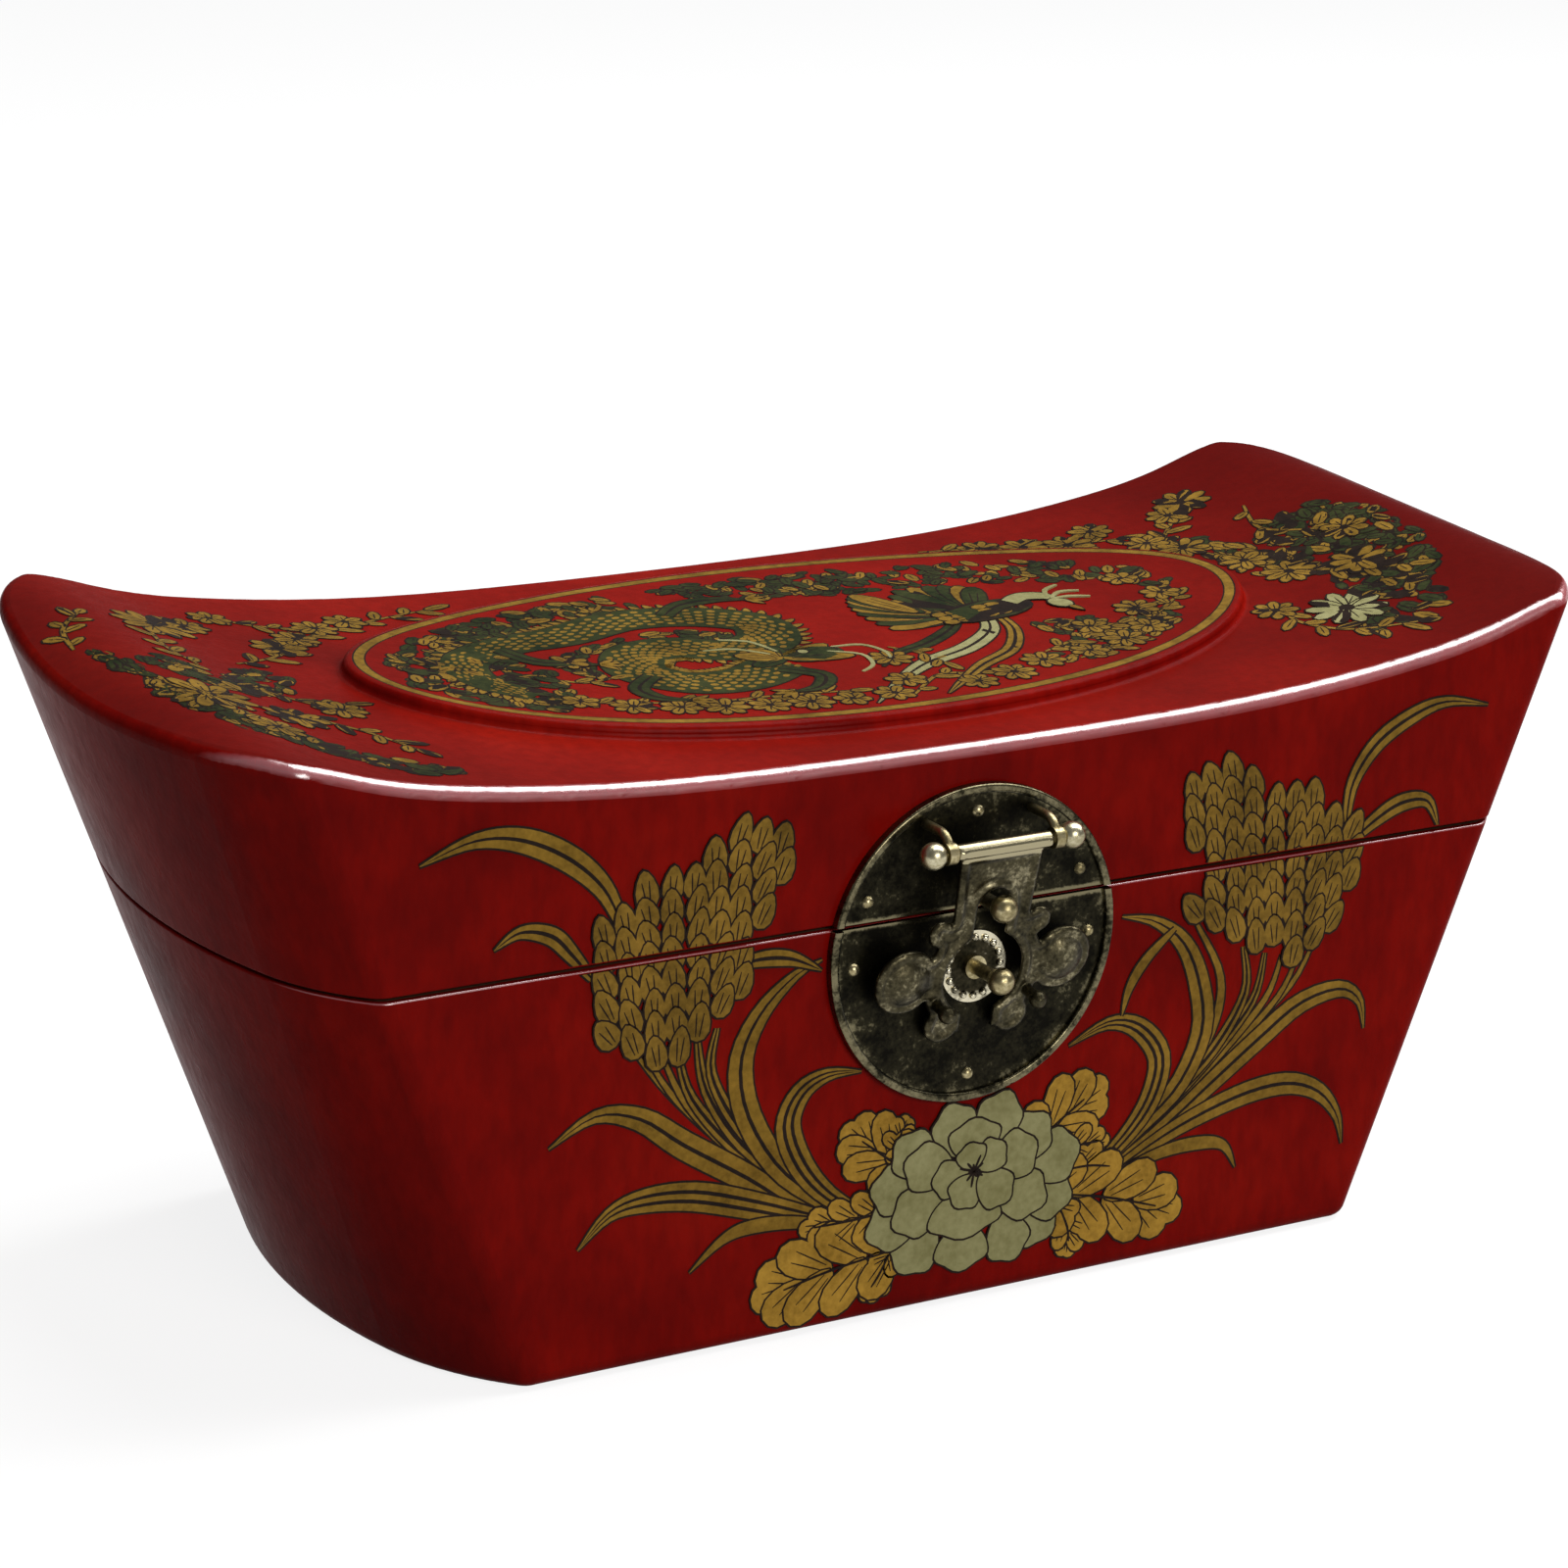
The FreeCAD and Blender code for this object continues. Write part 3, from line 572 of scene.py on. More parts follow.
def outlined_tongue(sheet, root, angle, length, width, height, body, veins=1, ripple=0.0,
                    fullness=0.0, sides=8):
    """A tongue of paint with an ink outline and a few ink veins; less fullness gives a finer tip."""
    ahead = toward(math.radians(angle))
    back = Vector(root) - ahead * outline_width
    tongue(sheet["ink"], back, angle, length + 2 * outline_width, width + 2 * outline_width, height,
           ripple, fullness, sides)
    tongue(sheet[body], root, angle, length, width, height + 1, ripple, fullness, sides)
    side = Vector((-ahead.y, ahead.x))
    for vein in range(veins):
        shift = (vein - (veins - 1) / 2) * width / (veins + 1)
        start = Vector(root) + ahead * length * 0.12 + side * shift * 0.5
        end = Vector(root) + ahead * length * 0.72 + side * shift
        line(sheet["ink"], [start, end], outline_width * 0.8, height + 2, 3)


print("one film of paint:", film, "mm")

# %% [markdown]
# Laying the paint. Each sheet is copied for the lid and for the base and cut with bisect_plane
# just clear of the seam, because the two halves part there. Extruding every face down into the
# leather makes each film a closed solid. The front is flat, so its points only swap axes. On the
# lid a ray falls from above on the leather cover and gives every point its height; there the
# brush was finer, so the films are half as thick.

# %% Laying a sheet of paint on the box
front_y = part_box("base_leather_cover")[0][1]
seam_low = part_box("base_leather_cover")[1][2] / MM - 0.5
seam_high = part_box("lid_leather_cover")[0][2] / MM + 0.5
sunk = -2.5
lid_share = 0.5


def new_piece(name, bm, material, body):
    """A finished mesh as an object that rides on a body of the box."""
    piece = add_mesh(name, bm, material)
    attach(piece, body)
    return piece


def move_to(bm, places):
    """Moves the points of a bmesh to new places, listed in their order."""
    for vert, place in zip(bm.verts, places):
        vert.co = place


def thicken(bm):
    """Turns flat films into closed ones that reach a little into the leather."""
    bmesh.ops.recalc_face_normals(bm, faces=bm.faces[:])
    grown = bmesh.ops.extrude_face_region(bm, geom=bm.faces[:], use_keep_orig=True)
    for item in grown["geom"]:
        if isinstance(item, bmesh.types.BMVert):
            item.co.z = sunk
    bmesh.ops.recalc_face_normals(bm, faces=bm.faces[:])


def cut_at(bm, level, keep_above):
    """Keeps the part of a flat sheet above or below a level."""
    bmesh.ops.bisect_plane(bm, geom=bm.verts[:] + bm.edges[:] + bm.faces[:], dist=1e-5,
                           plane_co=(0, level, 0), plane_no=(0, 1, 0),
                           clear_inner=keep_above, clear_outer=not keep_above)


lid_skin = nodes_by_name["lid_leather_cover"].data
lid_surface = BVHTree.FromPolygons([vert.co for vert in lid_skin.vertices],
                                   [face.vertices for face in lid_skin.polygons])
above_the_lid = 0.2


def on_front(across, up, height):
    """Where a sheet's point lies on the flat front."""
    return across * MM, front_y - height * film * MM, up * MM


def on_lid(across, back, height):
    """Where a sheet's point lands on the curved lid, under a ray that falls from above."""
    above = Vector((across * MM, back * MM, above_the_lid))
    hit = lid_surface.ray_cast(above, Vector((0, 0, -1)))[0]
    return hit + Vector((0, 0, height * film * lid_share * MM))


def lay(name, bm, paint_name, body, place_of):
    """Turns one paint of a sheet into a piece on the box and counts its faces."""
    laid = 0
    if bm.faces:
        thicken(bm)
        move_to(bm, [place_of(*vert.co) for vert in bm.verts])
        laid = len(bm.faces)
        new_piece(name, bm, paints[paint_name], body)
    else:
        bm.free()
    return laid


def lay_on_front(name, sheet):
    """Lays a sheet on the front, split between the lid and the base."""
    laid = 0
    for paint_name, flat in sheet.items():
        for body, level, keep_above in (("base", seam_low, False), ("lid", seam_high, True)):
            bm = flat.copy()
            cut_at(bm, level, keep_above)
            laid += lay(f"{name}_{paint_name}_on_{body}", bm, paint_name, body, on_front)
        flat.free()
    print(name, "faces:", laid)


def lay_on_lid(name, sheet):
    """Drops a sheet onto the curved top of the lid."""
    laid = 0
    for paint_name, bm in sheet.items():
        laid += lay(f"{name}_{paint_name}", bm, paint_name, "lid", on_lid)
    print(name, "faces:", laid)


print("front at", front_y, "seam cut at", seam_low, seam_high)

# %% [markdown]
# The grass. On each side long double-stranded blades spring from the peony's foot and curl over
# at their tips, and a bundle of thin stems climbs to the ear of grain. Their routes are listed
# in millimetres across and up the front. A counter lifts each new blade two films, its
# bed and its paint, above the last, as a brush lays one stroke over another.

# %% Blades and stems
left_blades = [
    ([(-69, 61), (-62, 52), (-52, 42), (-40, 32), (-30, 25), (-21, 19)], 1.3, 1),
    ([(-66, 59), (-60, 50), (-50, 40), (-39, 31), (-30, 25), (-21, 19)], 1.3, 1),
    ([(-63, 59), (-58, 49), (-48, 38), (-37, 30), (-29, 25), (-21, 19)], 1.5, 1),
    ([(-60, 60), (-57, 50), (-48, 39), (-37, 30), (-29, 25), (-21, 19)], 2.2, 2),
    ([(-56, 61), (-54, 51), (-47, 40), (-37, 31), (-29, 26), (-21, 19)], 2.4, 2),
    ([(-52, 62), (-53, 54), (-48, 44), (-40, 35), (-30, 27), (-21, 19)], 2.2, 2),
    ([(-20, 19), (-33, 24), (-45, 32.5), (-58, 41), (-67, 47.5), (-76, 49.5), (-85, 45)], 5.0, 2),
    ([(-20, 18), (-33, 23), (-45, 27.5), (-56, 31), (-66, 32), (-73, 30.5), (-79, 25)], 5.4, 3),
    ([(-20, 18), (-34, 22), (-44, 23), (-50, 21.5), (-56.5, 16.5)], 2.6, 1),
    ([(-19, 19), (-30, 26), (-39, 34), (-45.5, 45), (-47, 55), (-43.5, 63), (-37, 69), (-31, 71.5)],
     5.0, 2),
    ([(-19, 20), (-28, 26), (-34, 33), (-37, 41), (-34.5, 47), (-29, 49.5), (-22, 49)], 5.0, 3),
    ([(-49, 73), (-43, 73.5), (-37, 72.5), (-31, 69.5)], 3.0, 2),
    ([(-71, 83), (-75, 91), (-82, 97.5), (-91, 102), (-100, 103), (-110, 100)], 4.6, 2),
    ([(-77, 75), (-81, 80), (-85, 84), (-91, 85.5), (-96, 83)], 3.2, 2)]
right_blades = [
    ([(78, 60), (73, 51), (62, 42), (50, 33), (38, 25), (28, 19)], 1.3, 1),
    ([(74, 57), (70, 49), (60, 40), (49, 32), (38, 25), (28, 19)], 1.3, 1),
    ([(70, 57), (67, 49), (58, 40), (48, 32), (38, 25), (28, 19)], 1.5, 1),
    ([(66, 58), (64, 49), (56, 40), (47, 32), (38, 25), (28, 19)], 2.0, 2),
    ([(61, 60), (62, 51), (56, 41), (47, 33), (38, 26), (28, 19)], 2.2, 2),
    ([(29, 18), (44, 26), (55, 33.5), (66, 41), (75, 46.5), (84, 48), (89, 45), (90.5, 39)], 4.4, 2),
    ([(29, 17), (43, 24), (54, 28), (65, 30.5), (74, 30.5), (81, 27.5), (85.5, 22), (87, 16)], 4.4, 2),
    ([(30, 18), (44, 21.5), (53, 22), (59, 20.5), (62, 15.5)], 2.6, 1),
    ([(50, 66), (56, 55), (55, 45), (48, 34), (40, 27), (30, 20)], 1.8, 1),
    ([(28, 19), (40, 28), (48, 35), (52.5, 45), (51, 55), (47, 63), (40.5, 68), (33, 70)], 4.6, 2),
    ([(27, 19), (36, 26), (41.5, 33), (43, 41), (38, 47.5), (31, 49.5), (22.5, 46.5)], 4.8, 3),
    ([(45, 66), (39, 61), (35.5, 56), (34, 50.5)], 2.0, 1),
    ([(83, 81), (84, 89), (89, 96), (97, 100.5), (105, 102.3), (115, 100.5)], 3.4, 2),
    ([(84, 77), (90, 81), (96, 83.5), (102, 83), (105, 77.5)], 3.4, 2)]

for side_name, blades in (("left", left_blades), ("right", right_blades)):
    sheet = new_sheet()
    for number, (points, width, strands) in enumerate(blades):
        blade(sheet, points, width, strands, 1 + 2 * number)
    lay_on_front(side_name + "_grass", sheet)

# %% [markdown]
# The ears of grain. Each is a heap of overlapping scales that fan out from a point below the
# ear. The loop walks rings around that point, steps along each ring, and keeps the scales whose
# middle falls inside the ear's outline. Lower rings lie over higher ones, like roof tiles, and a
# slow sine wave turns and resizes the scales a little, so that no two rows match exactly.

# %% Ears of grain
def inside(place, outline):
    """Whether a place lies inside a closed outline, by counting the edges to its right."""
    crossings = False
    for (ax, ay), (bx, by) in zip(outline, outline[1:] + outline[:1]):
        if (ay > place[1]) != (by > place[1]):
            if place[0] < (bx - ax) * (place[1] - ay) / (by - ay) + ax:
                crossings = not crossings
    return crossings


left_ear = [
    (-66, 59), (-76, 66), (-79.5, 77), (-79, 83), (-75, 87), (-70, 86), (-68, 92), (-64, 90), (-57, 94),
    (-50, 98), (-43, 98.5), (-37, 97), (-38, 89), (-40, 83), (-44, 77), (-47, 70), (-52, 64), (-58, 60)]
right_ear = [
    (73, 57), (80, 61), (84, 67), (87, 76), (84, 83), (79, 86), (75, 90), (70, 88), (64, 92), (57, 96),
    (50, 98), (45, 96), (47, 89), (45, 84), (50, 78), (50, 71), (46, 66.5), (54, 63), (63, 60)]
ring_step = 4.3
scale_step = 4.7


def ear(side_name, outline, centre):
    """Rings of scales inside an outline; it returns how many there are."""
    sheet = new_sheet()
    count = 0
    for ring in range(16):
        radius = 18 + ring * ring_step
        turn_step = scale_step / radius
        steps = round(math.pi / turn_step)
        for step in range(steps):
            turn = (step + 0.5 * (ring % 2)) * turn_step
            place = Vector(centre) + toward(turn) * radius
            if not inside(place, outline):
                continue
            wobble = math.sin(3.1 * ring + 1.7 * step)
            angle = math.degrees(turn) + 7 * wobble
            length = 6.8 + 0.6 * math.sin(2.3 * step + ring)
            ahead = toward(turn)
            outlined_tongue(sheet, place - ahead * length / 2, angle, length, 4.3 + 0.3 * wobble,
                            58 - 2 * ring + 0.5 * (step % 2), "dull_gold", veins=2, fullness=-0.30,
                            sides=12)
            count += 1
    lay_on_front(side_name + "_ear", sheet)
    return count


print("scales:", ear("left", left_ear, (-60, 42)), ear("right", right_ear, (68, 40)))

# %% [markdown]
# The leaves around the peony. A leaf is a rib with pairs of tongues that point forward along it
# and one at its tip. Side by side, their rounded ends make the scalloped edge, and their ink
# beds show as the veins between them.

# %% Leaves
def leaf(sheet, rib, half_width, pairs, height, body):
    """A scalloped leaf: pairs of tongues along a rib and one at its tip."""
    path = smooth_path(rib, 2 * pairs + 2)
    for pair in range(pairs + 1):
        place, side = path[2 * pair]
        heading = heading_of(side)
        share = pair / pairs
        reach = half_width * (0.75 + 0.45 * math.sin(math.pi * (0.15 + 0.7 * share)))
        for way in (-1, 1):
            outlined_tongue(sheet, place, heading + way * 48.0 * (1 - 0.40 * share), reach * 1.25,
                            half_width * 0.80, height + 3 * (pairs - pair) + 0.6 * way, body, veins=2,
                            fullness=0.25, sides=14)
    tip, side = path[-2]
    outlined_tongue(sheet, tip, heading_of(side), half_width, half_width * 0.7, height - 1.5, body,
                    veins=2, fullness=0.25, sides=14)
    line(sheet["ink"], rib, outline_width * 1.3, height + 3 * (pairs + 2), 8)


front_leaves = [
    ([(-14, 13), (-27, 11.5), (-37, 9.5)], 8.6, 3), ([(-14, 21), (-22, 20.5), (-31, 20.5)], 4.8, 3),
    ([(-12, 28), (-17, 32), (-21.5, 35.5)], 6.8, 2), ([(-13, 30), (-13.5, 34), (-13, 36.5)], 3.2, 2),
    ([(-15, 12), (-17, 8.5), (-18.5, 6.5)], 3.6, 2), ([(19, 18), (32, 15), (44, 11)], 8.4, 3),
    ([(22, 15), (24, 10.5), (24.5, 7.5)], 4.0, 2), ([(22, 22), (28, 22), (33, 21)], 4.2, 2),
    ([(15, 28), (21, 32), (26.5, 35.5)], 7.4, 2), ([(21, 26), (26, 26.5), (30, 26.5)], 3.6, 2)]
sheet = new_sheet()
for number, (rib, half_width, pairs) in enumerate(front_leaves):
    leaf(sheet, rib, half_width, pairs, 30 + number, "warm_gold")
lay_on_front("peony_leaves", sheet)

# %% [markdown]
# The peony. Its petals are listed from the outer ring to the heart, each with its root, the
# direction it opens in, its length and its width. A ripple in the tongue's outline gives them
# their frilled ends. Each new petal lies a little higher, so the inner ones cover the outer.

# %% Peony
outer_petals = [
    ((-6, 17), -128, 10.5, 10.5), ((12, 17), -40, 10.5, 10.0), ((8.5, 15.5), -66, 9.6, 9.0),
    ((1, 15.5), -94, 9.0, 11.0), ((-8, 20), 196, 12.0, 9.5), ((-8, 24), 172, 11.0, 9.5),
    ((13, 20), -18, 11.5, 9.5), ((14, 24), 12, 11.5, 10.5), ((-6, 27), 138, 10.5, 9.0),
    ((10, 26), 43, 11.0, 9.5), ((0, 29), 108, 10.5, 9.0), ((5, 29), 67, 11.5, 9.5)]
middle_petals = [
    ((-3, 22.5), 203, 12.0, 9.5), ((7, 22.5), -27, 12.5, 9.5), ((1, 22.5), -90, 9.5, 15.0),
    ((7, 25), 24, 9.5, 9.5), ((-2, 26), 160, 10.5, 9.0), ((2.5, 27.5), 90, 8.0, 10.5)]
inner_petals = [
    ((1.5, 25), 182, 7.5, 7.0), ((3, 24.5), 232, 6.5, 7.0), ((4, 24.5), -42, 8.5, 7.5),
    ((3.5, 26), 35, 6.5, 6.5), ((2.5, 26), 102, 5.0, 6.0)]
sheet = new_sheet()
level = 54
for root, angle, length, width in outer_petals + middle_petals + inner_petals:
    outlined_tongue(sheet, root, angle, length, width, level, "petal", veins=0, ripple=0.10,
                    fullness=0.25, sides=32)
    level += 1.2
heart = Vector((2.6, 25.6))
for stroke in range(11):
    turn = math.radians(stroke * 360 / 11)
    reach = 1.4 + 0.9 * (stroke % 3)
    ahead = toward(turn)
    line(sheet["ink"], [heart + ahead * 0.3, heart + ahead * reach], 0.55, level + 3, 3)
lay_on_front("peony", sheet)

# %% [markdown]
# The lid is painted in the same way, only smaller and denser. Its motifs are old ones: a dragon
# and a long-tailed bird among flowers in the raised oval, and flowering branches at both ends.
# Five helpers build them: a flower, a leafy spray, a thicket, a branch of sprays and flowers, and
# a scaly body. The thicket drops little leaves inside an outline with a seeded random generator,
# so it grows the same every time.

# %% Helpers for the lid painting
def flower(sheet, centre, radius, petals, height, body="gold"):
    """Overlapping petals round a dark heart."""
    for petal in range(petals):
        angle = 360 * petal / petals + 17 * centre[0]
        outlined_tongue(sheet, centre, angle, radius, 3.4 * radius / petals,
                        height + 2.1 * (petal % 3) + 0.04 * petal, body, fullness=0.35, sides=10)
    heart = radius * 0.42
    tongue(sheet["ink"], (centre[0] - heart / 2, centre[1]), 0, heart, heart, height + 8, 0.0, 0.0, 8)


def spray(sheet, points, leaf_length, count, height):
    """A stem with leaves on alternating sides and one at its tip."""
    line(sheet["ink"], points, 1.3, height, 2 * count)
    line(sheet["gold"], points, 0.8, height + 1, 2 * count)
    path = smooth_path(points, count)
    for step, (place, side) in enumerate(path[1:]):
        turn = 0 if step == count - 1 else (48 if step % 2 else -48)
        outlined_tongue(sheet, place, heading_of(side) + turn, leaf_length * (0.8 + 0.2 * (step % 3)),
                        leaf_length * 0.42, height + 2.5 + 2.07 * (step % 3), "gold")


def thicket(sheet, outline, count, length, seed, mosses):
    """Small leaves of moss and gold, scattered inside an outline and never across it."""
    dice = random.Random(seed)
    lows = [min(corner[axis] for corner in outline) for axis in (0, 1)]
    highs = [max(corner[axis] for corner in outline) for axis in (0, 1)]
    grown = 0
    while grown < count:
        place = (dice.uniform(lows[0], highs[0]), dice.uniform(lows[1], highs[1]))
        size = length * dice.uniform(0.7, 1.15)
        turn = dice.uniform(0, 2 * math.pi)
        tip = (place[0] + size * math.cos(turn), place[1] + size * math.sin(turn))
        if not (inside(place, outline) and inside(tip, outline)):
            continue
        body = "moss" if dice.random() < mosses else "gold"
        outlined_tongue(sheet, place, math.degrees(turn), size, size * 0.5,
                        1 + 3 * (grown % 8) + 0.15 * (grown // 8), body)
        grown += 1


def branch(sheet, flowers, sprays, level, drop=6):
    """Sprays with flowers over them, each at a height of its own."""
    for number, (points, count, size) in enumerate(sprays):
        spray(sheet, points, size, count, level - drop + 0.37 * number)
    for number, (centre, radius, petals) in enumerate(flowers):
        flower(sheet, centre, radius, petals, level + 0.3 * number)


def scaly_body(sheet, points, width, rows, height, lanes):
    """A long body: a dark bed with staggered gold scales and a crest of little spikes."""
    path = smooth_path(points, rows)
    swell = lambda share: width / 2 * (0.30 + 0.70 * math.sin(math.pi * min(share * 0.75 + 0.12, 0.5)))
    ribbon(sheet["ink"], path, lambda share: swell(share) + 0.3, lambda share: -swell(share) - 0.3,
           height)
    ribbon(sheet["moss"], path, swell, lambda share: -swell(share), height + 1)
    for row, (place, side) in enumerate(path[:-1]):
        heading = heading_of(side)
        half = swell(row / rows)
        for lane in range(lanes):
            shift = (lane + 0.5 + 0.5 * (row % 2)) / lanes * 2 - 1
            if abs(shift) > 0.95:
                continue
            tongue(sheet["gold"], place + side * half * shift * 0.86, heading, 1.7,
                   1.3 * half / width * 2, height + 3 + row % 2, 0.0, 0.0, 8)
        outlined_tongue(sheet, place + side * half * 0.85, heading + 115, 3.2, 1.5, height - 1, "gold",
                        veins=0, fullness=-0.4)


print("lid helpers ready")

# %% [markdown]
# The oval's gold line is a flat ring: two circles stretched to ellipses and joined with
# bridge_loops. Inside it the dragon winds from the left over the top to the middle. Its legs are
# short blades that end in claws, and the head is built from a few tongues, with horns and
# whiskers of fine line. Two thickets of little leaves fill the ground around it.

# %% Dragon in the oval
border = new_sheet()
for paint_name, outer, inner, height in (("ink", 1.7, 4.2, 1), ("gold", 2.0, 3.9, 4)):
    bm = border[paint_name]
    for inset in (outer, inner):
        ring = bmesh.ops.create_circle(bm, segments=256, radius=1.0)
        for vert in ring["verts"]:
            across, up = [middle + part * (half - inset) for middle, part, half
                          in zip(oval_middle, vert.co, oval_half)]
            vert.co = (across, up, height)
    bmesh.ops.bridge_loops(bm, edges=bm.edges[:])
lay_on_lid("oval_border", border)

sheet = new_sheet()
thicket(sheet, [(-87, -6), (-85, 12), (-70, 27), (-48, 37), (-26, 41), (-20, 30), (-46, 26), (-60, 17),
        (-56, 4), (-58, -16), (-62, -24), (-74, -19), (-84, -10)], 330, 4.6, seed=3, mosses=0.62)
thicket(sheet, [(-40, 14), (-20, 16), (-12, 10), (-18, 6), (-28, 12), (-38, 10), (-46, 6), (-50, -10),
        (-56, 4)], 70, 4.0, seed=5, mosses=0.5)
scaly_body(sheet, [(-66, -13), (-72, -4), (-70, 8), (-58, 16), (-44, 19), (-30, 24), (-16, 22), (-6, 14),
                   (-9, 4), (-19, 1), (-28, 6), (-37, 4), (-41, -5), (-35, -14), (-24, -15), (-13, -9)],
           12.0, 96, 24, lanes=5)
for points in ([(-60, 14), (-57, 6), (-51, 3), (-46, 1)], [(-20, 24), (-14, 29), (-6, 30), (0, 28)],
               [(-40, -8), (-46, -14), (-45, -20), (-40, -23)],
               [(-16, -12), (-10, -18), (-14, -24), (-20, -25)]):
    blade(sheet, points, 3.6, 2, 34, "moss", root=0.9, count=14)
    for claw in (-40, -10, 20, 50):
        step = Vector(points[-1]) - Vector(points[-2])
        heading = math.degrees(math.atan2(step.y, step.x))
        outlined_tongue(sheet, points[-1], heading + claw, 4.2, 1.2, 36, "gold", veins=0, fullness=-0.3)
dragon_head = (-12, -7)
head_parts = (
    (150, 9, 5, "gold"), (115, 8, 4, "gold"), (75, 7, 3.4, "moss"), (200, 8, 4, "moss"),
    (5, 13, 8, "moss"), (-12, 14, 4.6, "gold"), (22, 13, 4.4, "gold"))
for angle, length, width, body in head_parts:
    outlined_tongue(sheet, dragon_head, angle, length, width, 38 + 0.02 * length, body, veins=2,
                    fullness=-0.1, sides=14)
outlined_tongue(sheet, (-7.5, -4.8), 0, 2.0, 2.0, 42, "petal", veins=0, sides=10)
for points in ([(-2, -6), (3, -10), (2, -16), (-2, -19)], [(0, -4), (6, -5), (8, -10), (7, -14)],
               [(-13, -4), (-18, 1), (-24, 2)], [(-11, -3), (-13, 4), (-18, 7)]):
    line(sheet["petal"], points, 0.9, 42, 12)
lay_on_lid("dragon", sheet)

# %% [markdown]
# The bird: dark feathers fanned over body and wings, a pale crest, and two long pale tail
# feathers that sweep to the front. Flowers and sprays fill the near edge and the right.

# %% Bird and flowers in the oval
sheet = new_sheet()
thicket(sheet, [(-18, 40), (4, 42), (30, 39), (54, 33), (74, 22), (84, 8), (80, -2), (60, 14), (42, 22),
        (16, 24), (-4, 26)], 230, 4.2, seed=11, mosses=0.7)
thicket(sheet, [(42, -4), (60, -8), (76, -6), (70, -18), (52, -28), (36, -30), (34, -22), (44, -16)],
        90, 4.2, seed=13, mosses=0.3)
blade(sheet, [(38, 4), (34, -6), (24, -14), (12, -19), (2, -26), (-9, -36)], 4.2, 2, 24, "petal",
      root=0.5, count=26)
blade(sheet, [(33, 4), (27, -3), (18, -9), (10, -12), (3, -18)], 3.0, 2, 26, "moss", root=0.5, count=20)
blade(sheet, [(40, 2), (38, -8), (31, -18), (21, -24), (12, -31), (6, -36)], 3.0, 2, 28, "gold",
      root=0.5, count=24)
for feather in range(9):
    outlined_tongue(sheet, (36 - feather * 1.2, 3 + feather * 0.6), 186 - feather * 9,
                    20 - feather * 0.5, 4.6, 32 + 3 * feather, "moss" if feather % 2 else "gold",
                    veins=2, fullness=0.15, sides=14)
for feather in range(9):
    outlined_tongue(sheet, (38, 5), 150 - feather * 11, 19 - abs(feather - 3), 4.8, 34 + 3 * feather,
                    "gold" if feather % 3 == 1 else "moss", veins=2, fullness=0.15, sides=14)
outlined_tongue(sheet, (28, 2), 8, 22, 10, 64, "moss", veins=3, sides=20)
for row in range(5):
    for lane in range(3):
        outlined_tongue(sheet, (31 + row * 3.2, 0.2 + lane * 2.4 + 0.4 * row), 190, 3.4, 2.4,
                        67 + 2 * (row % 2), "gold", veins=0, fullness=0.1)
blade(sheet, [(46, 6), (50, 8), (54, 6), (55, 2)], 4.0, 1, 72, "petal", root=0.9, count=12)
outlined_tongue(sheet, (54, 4), -75, 5.5, 4.2, 74, "petal", veins=0, sides=12)
outlined_tongue(sheet, (55.4, -1), -75, 3.6, 1.3, 75, "gold", veins=0, fullness=-0.5)
for curl in ([(54, 4), (58, 7), (62, 6)], [(54, 4), (58, 4), (62, 2)], [(54, 4), (56, 9), (60, 11)]):
    line(sheet["petal"], curl, 1.0, 76, 8)
lay_on_lid("bird", sheet)

sheet = new_sheet()
oval_flowers = (
    ((-52, -23), 4.2, 8), ((-44, -26), 4.0, 7), ((-36, -28), 4.6, 8), ((-28, -30), 4.0, 7),
    ((-20, -31), 4.4, 8), ((-12, -32), 3.6, 6), ((-3, -32), 4.0, 7), ((7, -14), 4.4, 8),
    ((3, -26), 4.0, 7), ((15, -32), 3.8, 7), ((24, -30), 4.4, 8), ((33, -26), 4.4, 8),
    ((44, -25), 3.8, 7), ((54, -22), 4.6, 8), ((62, -18), 4.0, 7), ((52, -13), 4.0, 7),
    ((66, -8), 4.6, 8), ((75, -3), 4.0, 7), ((-60, -18), 3.6, 6), ((-51, 4), 4.0, 7), ((73, 8), 3.6, 6))
oval_sprays = (
    ([(-62, -18), (-52, -21), (-40, -24)], 7), ([(-34, -25), (-22, -26), (-10, -28)], 8),
    ([(0, -34), (10, -26), (18, -28)], 7), ([(36, -22), (46, -18), (58, -14)], 8),
    ([(56, -18), (67, -13), (77, -6)], 8), ([(40, -28), (50, -25), (60, -21)], 7),
    ([(-60, -4), (-54, -8), (-48, -7)], 5), ([(10, -8), (14, -14), (15, -20)], 6))
branch(sheet, oval_flowers, [(points, count, 4.4) for points, count in oval_sprays], 26, drop=8)
lay_on_lid("oval_flowers", sheet)

# %% [markdown]
# The two ends of the lid carry flowering branches. They are drawn across from each other but
# not mirrored, because the painter worked freehand. Thickets of leaves cover the ground first,
# then come the sprays, and the large flowers lie on top.

